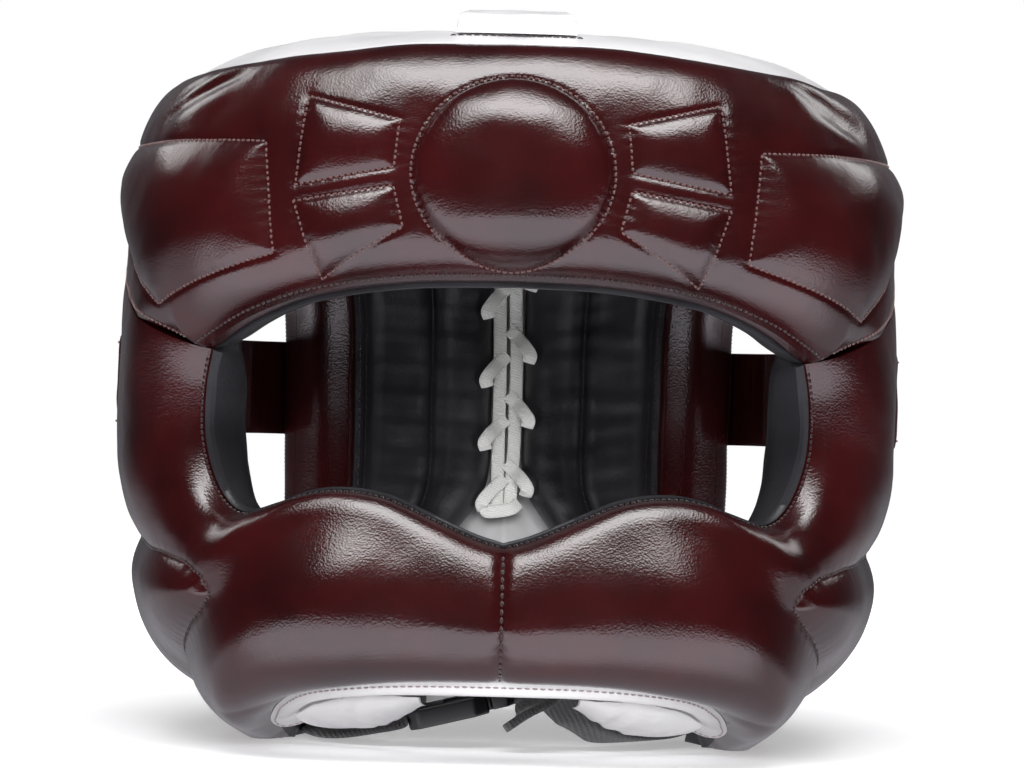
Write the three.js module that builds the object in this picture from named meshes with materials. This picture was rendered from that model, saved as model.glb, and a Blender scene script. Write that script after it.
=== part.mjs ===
// Boxing headgear with a nose bar, in millimetres: +Z up, the face looks along -Y and +X is to
// the right of someone who looks at the face. It stands on its jaw pads and back halves.
import * as THREE from "three";
import { mergeVertices } from "three/addons/utils/BufferGeometryUtils.js";

// Driving sizes.
const AXIS_Y = 5.4;            // head axis, behind the middle of the footprint
const SEAM_GAP = 0.8;          // clearance between a leather pad and its lining
const SEWN_EDGE = 1.5;         // thickness of a pad at an edge that is sewn flat
const FLOOR_Z = 0;             // surface that the headgear rests on
const LINING_LIP = 3;          // rolled lining that shows past the leather at the sight opening
const REAR_EDGE_DEG = 104;     // rear edge of forehead pad and cheeks, from the front round
const DEG = Math.PI / 180;
const BAND_FLAT = 0.85;        // share of a strap's width that is flat, between its softened edges
const SEARCH_PASSES = 20;      // halvings that find a place on a surface

// The sewn surface that pads and linings meet on: half width, reach to the front and the back,
// and how square the plan is, for each height.
const LEVELS = [
  { z: 0, halfWidth: 65, front: 104, back: 101, frontSquare: 2.6, backSquare: 2.2 },
  { z: 10, halfWidth: 75.5, front: 111, back: 104, frontSquare: 2.6, backSquare: 2.2 },
  { z: 20, halfWidth: 84, front: 116, back: 106, frontSquare: 2.6, backSquare: 2.2 },
  { z: 45, halfWidth: 95, front: 122, back: 109.5, frontSquare: 2.8, backSquare: 2.2 },
  { z: 70, halfWidth: 99.5, front: 122, back: 111, frontSquare: 3.0, backSquare: 2.2 },
  { z: 100, halfWidth: 100, front: 118, back: 112, frontSquare: 3.3, backSquare: 2.2 },
  { z: 134, halfWidth: 99.5, front: 111, back: 111, frontSquare: 3.3, backSquare: 2.2 },
  { z: 165, halfWidth: 98.5, front: 104.5, back: 107, frontSquare: 3.1, backSquare: 2.2 },
  { z: 190, halfWidth: 97, front: 99.5, back: 102, frontSquare: 2.9, backSquare: 2.2 },
  { z: 206, halfWidth: 95, front: 96, back: 98, frontSquare: 2.8, backSquare: 2.2 },
];

// Top edge of the forehead pad and lower edge over the sight opening, by the width from the middle.
const BROW_EDGE = [
  { x: 0, top: 203.5, sight: 135.5 },
  { x: 28, top: 203, sight: 134.5 },
  { x: 54, top: 200, sight: 130.5 },
  { x: 71, top: 198, sight: 124 },
  { x: 85, top: 196, sight: 115 },
];
const BROW_CORNER = BROW_EDGE.at(-1);  // where brow, cheek and sight opening meet
const BROW_TOP_LEVEL = 200;    // height at which the width of the top edge is measured
const BROW_FALL_DEG = 50;      // from here round, the top edge falls to its rear end
const BROW_TOP_REAR = 193.5;   // top edge at the rear end
const BROW_SEAM_REAR = 168;    // seam to the cheek at the rear end

// One row for each station of the cheek, jaw and nose bar, from the middle of the nose bar up to the
// forehead seam: the edge at the sight opening, and the free edge at chin, jaw and ear.
const FACE_ROWS = [
  { sightX: 0, sightZ: 60.5, edgeDeg: 0, edgeZ: 24 },
  { sightX: 8.5, sightZ: 63, edgeDeg: 11, edgeZ: 23.8 },
  { sightX: 20, sightZ: 68, edgeDeg: 20, edgeZ: 22.6 },
  { sightX: 33.5, sightZ: 73.6, edgeDeg: 28.5, edgeZ: 20 },
  { sightX: 46, sightZ: 75.3, edgeDeg: 35.3, edgeZ: 15.2 },
  { sightX: 56, sightZ: 74, edgeDeg: 42, edgeZ: 9.4 },
  { sightX: 65, sightZ: 70.5, edgeDeg: 51, edgeZ: 3.4 },
  { sightX: 74.4, sightZ: 68.3, edgeDeg: 64, edgeZ: -1.6 },
  { sightX: 81.5, sightZ: 74.5, edgeDeg: 84, edgeZ: 12.5 },
  { sightX: 86.3, sightZ: 88, edgeDeg: 99, edgeZ: 44 },
  { sightX: 86.8, sightZ: 103, edgeDeg: 104, edgeZ: 105 },
  { sightX: 85, sightZ: 115, edgeDeg: REAR_EDGE_DEG, edgeZ: BROW_SEAM_REAR },
];
const FACE_LAST = FACE_ROWS.length - 1;
const SEAM_STEP = 0.022;       // share of a station that the seams at both ends take up
const STATION_RUN = 13;        // distance between the stations next to the forehead seam
const CHEEK_ROW = 8;           // first station of the cheek beside the ear
const CURVE_LENGTH = 1.06;     // length of curved leather for each length of the straight line
const ARCH_END_ROW = 5.1;      // station where the binding of the arch ends

// How far each pad stands out from the sewn surface, and the width over which its edges round off.
const BROW = {
  body: 15, seamEdge: 14, topRound: 32, sightRound: 14, seamRound: 9, endRound: 18, cornerDeg: 9, lipDeg: 6,
};
const FACE = { body: 15.5, jawBody: 8.5, seamEdge: 14.5, sightRound: 26, edgeRound: 44, seamRound: 16 };
// Nose bar and chin are fullest low down, from a share across the guard to another, and more so
// towards the jaw; past the end row the guard takes the cheek's thickness.
const BAR = {
  middleTop: 13.5, middleLow: 17, jawTop: 9.5, jawLow: 24, fromRow: 0.5, toRow: 4, fromShare: 0.1,
  toShare: 0.65, endRow: 3.8, cheekRow: 6.2, edgeRound: 22,
};
const JAW_THIN = { fromDeg: 34, toDeg: 64, lowZ: 45, highZ: 85 };   // where the guard thins to the jaw
const BROW_LINING = { body: 10, round: 16 };
const FACE_LINING = { gap: 0.75, cheek: 15, bar: 8, round: 15, barRow: 5, cheekRow: 9, seamShare: 0.6 };
const BACK = { body: 12, lining: 13, round: 15, channel: 3, channelWidth: 7 };
const MIDDLE_DIP = 2.2;        // depth of the upright seam of the nose bar
const MIDDLE_DIP_WIDTH = 7;

// Stitched compartments of the forehead pad on one side: corners as width along the surface and
// height, how far they puff out, and the width over which they do so. The dome's rise is half its height.
const DOME = { z: 164, radius: 28, rise: 26.6, puff: 9 };
const COMPARTMENTS = [
  { puff: 3, round: 11, corners: [[33, 177.5], [61.3, 183.8], [61, 158], [33.5, 163.6]] },
  { puff: 3, round: 11, corners: [[33.2, 158.3], [60.6, 153.3], [51.5, 133.2], [29.6, 146.7]] },
  { puff: 5, round: 20, corners: [[72.3, 170.5], [172, 175], [172, 162], [105.2, 126], [64.4, 139]] },
];
const COMPARTMENT_LEVEL = 165; // height at which widths along the forehead are measured

// Stitched compartment of the jaw: corners as degrees from the front and height.
const JAW_PUFF = { puff: 5.5, round: 18, groove: 1.8, grooveWidth: 8, mmPerDeg: 1.75 };
const JAW_CORNERS = [[35, 50], [39, 55.8], [46.5, 58.6], [103, 63], [103, 14], [71, 28.5], [40, 42]];

// Back halves, laced at the middle and spread over the nape.
const BACK_EDGE = [
  { z: 0, frontDeg: 143, middleDeg: 165 },
  { z: 35, frontDeg: 141.5, middleDeg: 166 },
  { z: 58, frontDeg: 141, middleDeg: 171.5 },
  { z: 74, frontDeg: 141, middleDeg: 176.6 },
  { z: 100, frontDeg: 141, middleDeg: 177.2 },
  { z: 140, frontDeg: 139, middleDeg: 177.2 },
  { z: 156, frontDeg: 131, middleDeg: 177.2 },
  { z: 168, frontDeg: 119, middleDeg: 177.2 },
  { z: 176, frontDeg: 109, middleDeg: 177.2 },
  { z: 189, frontDeg: 106, middleDeg: 177.2 },
];
const BACK_BOTTOM = 0;
const BACK_FOOT = 3;           // the back halves stand on an edge that is rounded less by this
const BACK_TOP = 188;
const BACK_CHANNELS = [0.3, 0.68];   // upright channel seams, as shares of the width

// Crown.
const CROWN = {
  apex: 212, bulge: 4.2, spread: 1.03, thick: 12, rimThick: 6, reach: 95,
  backRim: 188.7, rimGap: 0.6, fallFromDeg: REAR_EDGE_DEG + 2, fallToDeg: 138,
};
const CROWN_STRAP = {
  frontHalf: 20, half: 15.5, flare: 22, front: -86, back: 92,
  thick: 5.5, edgeThick: 1.6, sideRound: 4, endRound: 5,
};

// Straps over the ears, the tongue at the nape and the lace.
const EAR_STRAP = {
  fromDeg: 80, toDeg: 150, low: 90, high: 120, thick: 3, edgeThick: 1.2, edgeShare: 0.2, lift: 0.6,
};
const DRAPE_TURNS = [-14, -11, -8, -5, -2, 0, 2, 5, 8, 11, 14];   // degrees that drawn leather bridges
const DRAPE_SLOPE = 0.8;       // how steeply it falls away, for each degree
const TONGUE = { top: 183, bottom: 4, thick: 2.4, lift: 1, overlap: 5 };
const LACE = {
  width: 4.6, thick: 1.8, strand: 2.7, loop: 8.5, top: 184, crossRise: 3, tail: 40,
  degPerMm: 0.52, depth: 3.2, lift: 0.6, steps: 44, stations: 70,
};
const LACE_SPREAD = { reach: 8, fromZ: 70, over: 30 };   // how the tails part at the nape
const LACE_LOOPS = { left: [152, 127, 102, 79], right: [164, 139, 114, 90], halfHeight: 7.5 };

// White leather at the arch.
const BINDING = { width: 5, outside: 3.6, inside: 5.5, gap: 0.4, round: 1.6, stations: 32, turnStep: 0.05 };
const JAW_LINING = [
  { deg: 12, high: 17.3, low: 14.5, reach: 12 },
  { deg: 17, high: 17.3, low: 11, reach: 17 },
  { deg: 23, high: 16.6, low: 8, reach: 21 },
  { deg: 30, high: 14, low: 6.2, reach: 22 },
  { deg: 35.5, high: 10.2, low: 5.6, reach: 19 },
];
const JAW_LINING_THICK = 2.4;
const JAW_LINING_LEVEL = 25;   // height of the sewn surface that it is measured from
const JAW_LINING_START = 9.9;  // distance of its upper edge inside the sewn surface

// Chin strap: middle line of each length, how far its width is turned up from level, in order.
const STRAP = { width: 18, thick: 2.4, tip: 1.2, leftStations: 14, rightStations: 26 };
const STRAP_LEFT = [
  { x: -72.5, y: 4, z: 38, turn: -86 },
  { x: -71.2, y: 2, z: 20, turn: -76 },
  { x: -66.4, y: -2, z: 9.4, turn: -38 },
  { x: -57.4, y: -14, z: 3.6, turn: -8 },
  { x: -50, y: -38, z: 2.8, turn: 2 },
  { x: -43, y: -54, z: 3.6, turn: 6 },
  { x: -33, y: -60, z: 6.1, turn: 2 },
  { x: -27, y: -60, z: 7.55, turn: 0 },
];
const STRAP_RIGHT = [
  { x: 80.3, y: 5, z: 38, turn: 86 },
  { x: 76.9, y: -1, z: 22, turn: 80 },
  { x: 59.6, y: -20, z: 8.4, turn: 32 },
  { x: 47, y: -42, z: 3.6, turn: 8 },
  { x: 31, y: -59, z: 4.6, turn: 10 },
  { x: 23, y: -63, z: 9.4, turn: 14 },
  { x: 17.5, y: -67, z: 15.5, turn: 16 },
  { x: 13, y: -72, z: 16.4, turn: 16 },
  { x: 9, y: -77, z: 12, turn: 16 },
  { x: 2.5, y: -80, z: 7.4, turn: 16 },
];
const BUCKLE = {
  x: -15, y: -60, z: 10.5, pitch: 14, length: 24, width: 22, thick: 6, slot: 12, wall: 0.35,
  rearCut: 3, mouthCut: 4,
};
const PRONG = { collar: 1, collarEnd: 6, neck: 7.5, tip: 10, neckHalf: 4, tipHalf: 5, inset: 3, thick: 4.4 };

// Surface finish of each material.
const OXBLOOD = { color: "#3d0d10", roughness: 0.24, metalness: 0 };
const BLACK_LEATHER = { color: "#151517", roughness: 0.42, metalness: 0 };
const WHITE_LEATHER = { color: "#dddde0", roughness: 0.45, metalness: 0 };
const WHITE_LACE = { color: "#d6d6d8", roughness: 0.8, metalness: 0 };
const BLACK_WEBBING = { color: "#0e0e10", roughness: 0.7, metalness: 0 };
const BLACK_PLASTIC = { color: "#101012", roughness: 0.35, metalness: 0 };

// Smooth curve through the rows of a table, read at any value of its first column.
function readRows(rows, key, column, at) {
  let k = 0;
  while (k < rows.length - 2 && at > rows[k + 1][key]) k += 1;
  const slope = (a, b) => (rows[b][column] - rows[a][column]) / (rows[b][key] - rows[a][key]);
  const here = slope(k, k + 1);
  const before = k > 0 ? slope(k - 1, k + 1) : here;
  const after = k < rows.length - 2 ? slope(k, k + 2) : here;
  const span = rows[k + 1][key] - rows[k][key];
  const t = THREE.MathUtils.clamp((at - rows[k][key]) / span, 0, 1);
  const t2 = t * t;
  const t3 = t2 * t;
  return (2 * t3 - 3 * t2 + 1) * rows[k][column] + (t3 - 2 * t2 + t) * span * before
    + (3 * t2 - 2 * t3) * rows[k + 1][column] + (t3 - t2) * span * after;
}

const lerp = THREE.MathUtils.lerp;
const smooth = THREE.MathUtils.smoothstep;

// Quarter round: 0 at an edge, 1 once the given width is reached.
function rounded(distance, width) {
  const k = THREE.MathUtils.clamp(distance / width, 0, 1);
  return Math.sqrt(k * (2 - k));
}

// Point of the sewn surface, by the angle round the head from the front and the height.
function sewnPoint(deg, z) {
  const side = Math.sin(deg * DEG);
  const ahead = Math.cos(deg * DEG);
  const reach = readRows(LEVELS, "z", ahead > 0 ? "front" : "back", z);
  const square = readRows(LEVELS, "z", ahead > 0 ? "frontSquare" : "backSquare", z);
  const halfWidth = readRows(LEVELS, "z", "halfWidth", z);
  const sum = (Math.abs(side) / halfWidth) ** square + (Math.abs(ahead) / reach) ** square;
  const radius = sum ** (-1 / square);
  return new THREE.Vector3(radius * side, AXIS_Y - radius * ahead, z);
}

function sewnNormal(deg, z) {
  const along = sewnPoint(deg + 0.5, z).sub(sewnPoint(deg - 0.5, z));
  const up = sewnPoint(deg, z + 0.5).sub(sewnPoint(deg, z - 0.5));
  return along.cross(up).normalize();
}

// Point at a distance outside the sewn surface; leather is pressed flat where it meets the floor.
function offPoint(deg, z, out) {
  const point = sewnPoint(deg, z).addScaledVector(sewnNormal(deg, z), out);
  point.z = Math.max(point.z, FLOOR_Z);
  return point;
}

// Angle at which the sewn surface has the given width from the middle, ahead of the ears.
function degAtWidth(x, z) {
  const halfWidth = readRows(LEVELS, "z", "halfWidth", z);
  const front = readRows(LEVELS, "z", "front", z);
  const square = readRows(LEVELS, "z", "frontSquare", z);
  const ahead = front * (1 - (Math.abs(x) / halfWidth) ** square) ** (1 / square);
  return Math.atan2(x, ahead) / DEG;
}

// Closed solid from points and triangles, turned to face out.
function closedSolid(points, triangles) {
  let volume = 0;
  for (const [a, b, c] of triangles) {
    volume += points[a].dot(new THREE.Vector3().crossVectors(points[b], points[c]));
  }
  const index = triangles.flatMap(([a, b, c]) => (volume > 0 ? [a, b, c] : [a, c, b]));
  const geometry = new THREE.BufferGeometry();
  const places = points.flatMap((point) => point.toArray());
  geometry.setAttribute("position", new THREE.Float32BufferAttribute(places, 3));
  geometry.setIndex(index);
  return mergeVertices(geometry, 1e-4);
}

// Strip of triangles between two lines of points that run the same way.
function stripBetween(lineA, lineB, triangles) {
  let a = 0;
  let b = 0;
  while (a < lineA.length - 1 || b < lineB.length - 1) {
    const nextA = (a + 1) / (lineA.length - 1);
    const nextB = (b + 1) / (lineB.length - 1);
    if (b === lineB.length - 1 || (a < lineA.length - 1 && nextA <= nextB)) {
      triangles.push([lineA[a], lineA[a + 1], lineB[b]]);
      a += 1;
    } else {
      triangles.push([lineA[a], lineB[b + 1], lineB[b]]);
      b += 1;
    }
  }
}

// Padded sheet: an open face and a sewn face over the same outline, closed round the edges.
function paddedSheet({ columns, rows, sewnRows, openAt, sewnAt }) {
  const points = [];
  const grid = (count, at) => Array.from({ length: columns + 1 }, (_, i) =>
    Array.from({ length: count + 1 }, (__, j) => points.push(at(i / columns, j / count)) - 1));
  const open = grid(rows, openAt);
  const sewn = grid(sewnRows, sewnAt);
  const triangles = [];
  for (let i = 0; i < columns; i += 1) {
    stripBetween(open[i], open[i + 1], triangles);
    stripBetween(sewn[i + 1], sewn[i], triangles);
  }
  const edge = (lines, j) => lines.map((line) => line.at(j));
  stripBetween(edge(open, 0), edge(sewn, 0), triangles);
  stripBetween(edge(sewn, -1), edge(open, -1), triangles);
  stripBetween(sewn[0], open[0], triangles);
  stripBetween(open[columns], sewn[columns], triangles);
  return closedSolid(points, triangles);
}

// Solid through a row of closed sections that all have the same number of points.
function sectionSolid(sections) {
  const points = sections.flat();
  const count = sections[0].length;
  const triangles = [];
  for (let s = 0; s < sections.length - 1; s += 1) {
    for (let k = 0; k < count; k += 1) {
      const a = s * count + k;
      const b = s * count + (k + 1) % count;
      triangles.push([a, b, b + count], [a, b + count, a + count]);
    }
  }
  const last = points.length - count;
  for (let k = 1; k < count - 1; k += 1) {
    triangles.push([0, k + 1, k], [last, last + k, last + k + 1]);
  }
  return closedSolid(points, triangles);
}

// Flat band with softened edges along a path; each station gives its middle, the way across its
// width and the way through its thickness, with half of both sizes.
function bandSolid(stations) {
  const flat = BAND_FLAT;
  const outline = [[-1, 0], [-flat, 1], [flat, 1], [1, 0], [flat, -1], [-flat, -1]];
  return sectionSolid(stations.map(({ middle, across, through, halfWidth, halfThick }) =>
    outline.map(([u, v]) => {
      const point = middle.clone().addScaledVector(across, u * halfWidth);
      point.addScaledVector(through, v * halfThick);
      point.z = Math.max(point.z, FLOOR_Z);
      return point;
    })));
}

// Forehead pad.
const browCornerDeg = degAtWidth(BROW_CORNER.x, BROW_CORNER.sight);

function browTop(deg) {
  const x = Math.min(Math.abs(sewnPoint(deg, BROW_TOP_LEVEL).x), BROW_CORNER.x);
  const front = readRows(BROW_EDGE, "x", "top", x);
  return lerp(front, BROW_TOP_REAR, smooth(Math.abs(deg), BROW_FALL_DEG, REAR_EDGE_DEG));
}

function browBottom(deg) {
  const turn = Math.abs(deg);
  if (turn >= browCornerDeg) {
    const share = (turn - browCornerDeg) / (REAR_EDGE_DEG - browCornerDeg);
    return lerp(BROW_CORNER.sight, BROW_SEAM_REAR, share);
  }
  let z = BROW_CORNER.sight;
  for (let pass = 0; pass < SEARCH_PASSES; pass += 1) {
    z = readRows(BROW_EDGE, "x", "sight", Math.min(Math.abs(sewnPoint(turn, z).x), BROW_CORNER.x));
  }
  return z;
}

// Width along the outside of the forehead from the middle, for each whole degree.
const foreheadWidths = [0];
for (let deg = 1; deg <= REAR_EDGE_DEG + 1; deg += 1) {
  const before = offPoint(deg - 1, COMPARTMENT_LEVEL, BROW.body);
  const here = offPoint(deg, COMPARTMENT_LEVEL, BROW.body);
  foreheadWidths.push(foreheadWidths[deg - 1] + here.distanceTo(before));
}

function foreheadWidth(deg) {
  const turn = Math.min(Math.abs(deg), REAR_EDGE_DEG);
  const whole = Math.floor(turn);
  return lerp(foreheadWidths[whole], foreheadWidths[whole + 1], turn - whole);
}

// Distance inside a compartment whose corners run clockwise; negative outside.
function insideCorners(u, z, corners) {
  let inside = Infinity;
  corners.forEach(([u0, z0], k) => {
    const [u1, z1] = corners[(k + 1) % corners.length];
    const length = Math.hypot(u1 - u0, z1 - z0);
    inside = Math.min(inside, ((u - u0) * (z1 - z0) - (z - z0) * (u1 - u0)) / length);
  });
  return inside;
}

function browHeight(deg, z) {
  const u = foreheadWidth(deg);
  const turn = Math.abs(deg);
  const fromTop = browTop(deg) - z;
  const fromBottom = z - browBottom(deg);
  const seam = smooth(turn, browCornerDeg, browCornerDeg + BROW.cornerDeg);
  const lower = lerp(rounded(fromBottom, BROW.sightRound), rounded(fromBottom, BROW.seamRound), seam);
  const edge = BROW.seamEdge * seam;
  const ends = rounded(foreheadWidth(REAR_EDGE_DEG) - u, BROW.endRound);
  let height = (edge + (BROW.body - edge) * lower) * rounded(fromTop, BROW.topRound) * ends;
  const fromDome = Math.hypot(u, (z - DOME.z) * DOME.radius / DOME.rise);
  height += DOME.puff * rounded(DOME.radius - fromDome, DOME.radius);
  for (const { puff, round, corners } of COMPARTMENTS) {
    height += puff * rounded(insideCorners(u, z, corners), round) * ends;
  }
  return SEWN_EDGE + height;
}

// Shares of the arc and the height over the forehead outline; a lining reaches lower by its lip.
function browPlace(a, b, lip) {
  const deg = lerp(-REAR_EDGE_DEG, REAR_EDGE_DEG, a);
  const over = 1 - smooth(Math.abs(deg), browCornerDeg - BROW.lipDeg, browCornerDeg);
  const bottom = browBottom(deg) + SEAM_GAP / 2 - lip * over;
  return [deg, lerp(bottom, browTop(deg), b)];
}

const foreheadPad = paddedSheet({
  columns: 56,
  rows: 12,
  sewnRows: 5,
  openAt: (a, b) => {
    const [deg, z] = browPlace(a, b, 0);
    return offPoint(deg, z, SEAM_GAP / 2 + browHeight(deg, z));
  },
  sewnAt: (a, b) => offPoint(...browPlace(a, b, 0), SEAM_GAP / 2),
});

const foreheadLining = paddedSheet({
  columns: 30,
  rows: 5,
  sewnRows: 5,
  openAt: (a, b) => {
    const [deg, z] = browPlace(a, b, LINING_LIP);
    const low = browPlace(a, 0, LINING_LIP)[1];
    const ends = rounded(foreheadWidth(REAR_EDGE_DEG) - foreheadWidth(deg), BROW_LINING.round);
    const pad = rounded(z - low, BROW_LINING.round) * rounded(browTop(deg) - z, BROW_LINING.round);
    return offPoint(deg, z, -SEAM_GAP / 2 - SEWN_EDGE - BROW_LINING.body * pad * ends);
  },
  sewnAt: (a, b) => offPoint(...browPlace(a, b, LINING_LIP), -SEAM_GAP / 2),
});

// Cheek, jaw and nose bar of the right side; the left side mirrors it.
FACE_ROWS.forEach((row, k) => {
  row.step = k;
  row.sightDeg = degAtWidth(row.sightX, row.sightZ);
});

// Both ends of one station, and the width of leather between them.
function faceStation(step) {
  const read = (column) => readRows(FACE_ROWS, "step", column, step);
  const sightDeg = read("sightDeg");
  const sightZ = read("sightZ");
  const edgeDeg = read("edgeDeg");
  const edgeZ = read("edgeZ");
  const straight = sewnPoint(sightDeg, sightZ).distanceTo(sewnPoint(edgeDeg, edgeZ));
  return { sightDeg, sightZ, edgeDeg, edgeZ, width: straight * CURVE_LENGTH };
}

function facePlace(step, b, lip) {
  const { sightDeg, sightZ, edgeDeg, edgeZ, width } = faceStation(step);
  const share = lerp(-lip / width, 1, b);
  const deg = lerp(sightDeg, edgeDeg, share);
  const z = lerp(sightZ, edgeZ, share);
  return { deg, z, fromSight: share * width, fromEdge: (1 - share) * width };
}

function barBody(step, share) {
  const wide = smooth(step, BAR.fromRow, BAR.toRow);
  const down = smooth(share, BAR.fromShare, BAR.toShare);
  return lerp(lerp(BAR.middleTop, BAR.jawTop, wide), lerp(BAR.middleLow, BAR.jawLow, wide), down);
}

function faceHeight(step, { deg, z, fromSight, fromEdge }) {
  const seamRun = (FACE_LAST - step) * STATION_RUN;
  const lift = lerp(FACE.seamEdge / FACE.body, 1, rounded(seamRun, FACE.seamRound));
  const low = 1 - smooth(z, JAW_THIN.lowZ, JAW_THIN.highZ);
  const jaw = smooth(Math.abs(deg), JAW_THIN.fromDeg, JAW_THIN.toDeg) * low;
  const cheek = smooth(step, BAR.endRow, BAR.cheekRow);
  const edge = rounded(fromEdge, lerp(BAR.edgeRound, FACE.edgeRound, cheek));
  const bar = barBody(step, fromSight / (fromSight + fromEdge));
  const body = lerp(bar, lerp(FACE.body, FACE.jawBody, jaw), cheek);
  let height = body * lift * rounded(fromSight, FACE.sightRound) * edge;
  const corners = JAW_CORNERS.map(([cornerDeg, cornerZ]) => [cornerDeg * JAW_PUFF.mmPerDeg, cornerZ]);
  const inside = insideCorners(Math.abs(deg) * JAW_PUFF.mmPerDeg, z, corners);
  height += JAW_PUFF.puff * rounded(inside, JAW_PUFF.round) * edge;
  height -= JAW_PUFF.groove * Math.max(0, 1 - Math.abs(inside) / JAW_PUFF.grooveWidth) ** 2;
  const seam = Math.max(0, 1 - Math.abs(sewnPoint(deg, z).x) / MIDDLE_DIP_WIDTH);
  return SEWN_EDGE + Math.max(0, height - MIDDLE_DIP * seam * seam);
}

// Shares along and across the guard; it keeps clear of the middle seam and of the forehead seam.
function faceStep(a) {
  return lerp(SEAM_STEP, FACE_LAST - SEAM_STEP, a);
}

const faceGuard = paddedSheet({
  columns: 28,
  rows: 10,
  sewnRows: 5,
  openAt: (a, b) => {
    const place = facePlace(faceStep(a), b, 0);
    return offPoint(place.deg, place.z, SEAM_GAP / 2 + faceHeight(faceStep(a), place));
  },
  sewnAt: (a, b) => {
    const place = facePlace(faceStep(a), b, 0);
    return offPoint(place.deg, place.z, SEAM_GAP / 2);
  },
});

function faceLiningDepth(step, place, lip) {
  const { cheek, bar, round, barRow, cheekRow, seamShare } = FACE_LINING;
  const body = lerp(bar, cheek, smooth(step, barRow, cheekRow));
  const seam = rounded((FACE_LAST - step) * STATION_RUN, round);
  const pad = rounded(place.fromSight + lip, round) * rounded(place.fromEdge, round);
  return SEWN_EDGE + body * pad * lerp(seamShare, 1, seam);
}

// One lining runs from cheek to cheek behind the nose bar.
function faceLiningPoint(a, b, depthShare) {
  const turn = lerp(-1, 1, a) * (FACE_LAST - SEAM_STEP);
  const step = Math.abs(turn);
  const place = facePlace(step, b, LINING_LIP);
  const depth = depthShare * faceLiningDepth(step, place, LINING_LIP);
  return offPoint(place.deg * Math.sign(turn), place.z, -FACE_LINING.gap - depth);
}

const faceLining = paddedSheet({
  columns: 42,
  rows: 5,
  sewnRows: 5,
  openAt: (a, b) => faceLiningPoint(a, b, 1),
  sewnAt: (a, b) => faceLiningPoint(a, b, 0),
});

// Back half of the right side with its channelled lining.
function backPlace(a, b) {
  const z = lerp(BACK_BOTTOM, BACK_TOP, b);
  const frontDeg = readRows(BACK_EDGE, "z", "frontDeg", z);
  const middleDeg = readRows(BACK_EDGE, "z", "middleDeg", z);
  const width = sewnPoint(frontDeg, z).distanceTo(sewnPoint(middleDeg, z));
  return { deg: lerp(frontDeg, middleDeg, a), z, width };
}

function backRise(a, { z, width }) {
  return rounded(a * width, BACK.round) * rounded((1 - a) * width, BACK.round)
    * rounded(z + BACK_FOOT, BACK.round) * rounded(BACK_TOP - z, BACK.round);
}

function channelDip(a, width) {
  const nearest = Math.min(...BACK_CHANNELS.map((share) => Math.abs(a - share))) * width;
  return BACK.channel * Math.max(0, 1 - nearest / BACK.channelWidth) ** 2;
}

function backSheet(columns, rows, openOut, side) {
  return paddedSheet({
    columns,
    rows,
    sewnRows: 7,
    openAt: (a, b) => {
      const place = backPlace(a, b);
      return offPoint(place.deg, place.z, side * SEAM_GAP / 2 + openOut(a, place));
    },
    sewnAt: (a, b) => {
      const place = backPlace(a, b);
      return offPoint(place.deg, place.z, side * SEAM_GAP / 2);
    },
  });
}

const backPad = backSheet(10, 12, (a, place) => SEWN_EDGE + BACK.body * backRise(a, place), 1);

function backLiningDepth(a, place) {
  const rise = backRise(a, place);
  return SEWN_EDGE + (BACK.lining - channelDip(a, place.width)) * rise;
}

const backLining = backSheet(12, 9, (a, place) => -backLiningDepth(a, place), -1);

// Crown: a padded cap on the top edges of forehead pad and back halves.
function crownRim(deg) {
  const turn = Math.abs(deg);
  const front = browTop(Math.min(turn, REAR_EDGE_DEG)) + CROWN.rimGap;
  return lerp(front, CROWN.backRim, smooth(turn, CROWN.fallFromDeg, CROWN.fallToDeg));
}

// Point of the cap by its shares across and along, each from -1 to 1.
function crownPoint(u, v) {
  const x = u * Math.sqrt(1 - v * v / 2);
  const y = v * Math.sqrt(1 - u * u / 2);
  const share = Math.hypot(x, y);
  const deg = Math.atan2(x, -y) / DEG;
  const rimZ = crownRim(deg);
  const rim = sewnPoint(deg, rimZ);
  const z = lerp(CROWN.apex, rimZ, share ** CROWN.bulge);
  const reach = share * CROWN.spread;
  return new THREE.Vector3(rim.x * reach, AXIS_Y + (rim.y - AXIS_Y) * reach, z);
}

const crownPanel = paddedSheet({
  columns: 12,
  rows: 12,
  sewnRows: 12,
  openAt: (a, b) => crownPoint(2 * a - 1, 2 * b - 1),
  sewnAt: (a, b) => {
    const top = crownPoint(2 * a - 1, 2 * b - 1);
    const edge = Math.max(Math.abs(2 * a - 1), Math.abs(2 * b - 1));
    const thick = lerp(CROWN.thick, CROWN.rimThick, edge ** 3);
    const inner = new THREE.Vector3(top.x, top.y - AXIS_Y, 0).multiplyScalar(1 - thick * edge / CROWN.reach);
    return new THREE.Vector3(inner.x, inner.y + AXIS_Y, top.z - lerp(CROWN.thick, 0, edge ** 3));
  },
});

// Height of the cap's outside at a place in plan.
function crownHeight(x, y) {
  const deg = Math.atan2(x, AXIS_Y - y) / DEG;
  const rimZ = crownRim(deg);
  const rim = sewnPoint(deg, rimZ);
  const reach = Math.hypot(rim.x, rim.y - AXIS_Y) * CROWN.spread;
  const share = Math.min(1, Math.hypot(x, y - AXIS_Y) / reach);
  return lerp(CROWN.apex, rimZ, share ** CROWN.bulge);
}

function crownStrapPlace(a, b, lift) {
  const y = lerp(CROWN_STRAP.front, CROWN_STRAP.back, b);
  const flare = smooth(CROWN_STRAP.front + CROWN_STRAP.flare - y, 0, CROWN_STRAP.flare);
  const x = lerp(-1, 1, a) * lerp(CROWN_STRAP.half, CROWN_STRAP.frontHalf, flare);
  return new THREE.Vector3(x, y + AXIS_Y, crownHeight(x, y + AXIS_Y) + lift);
}

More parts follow.
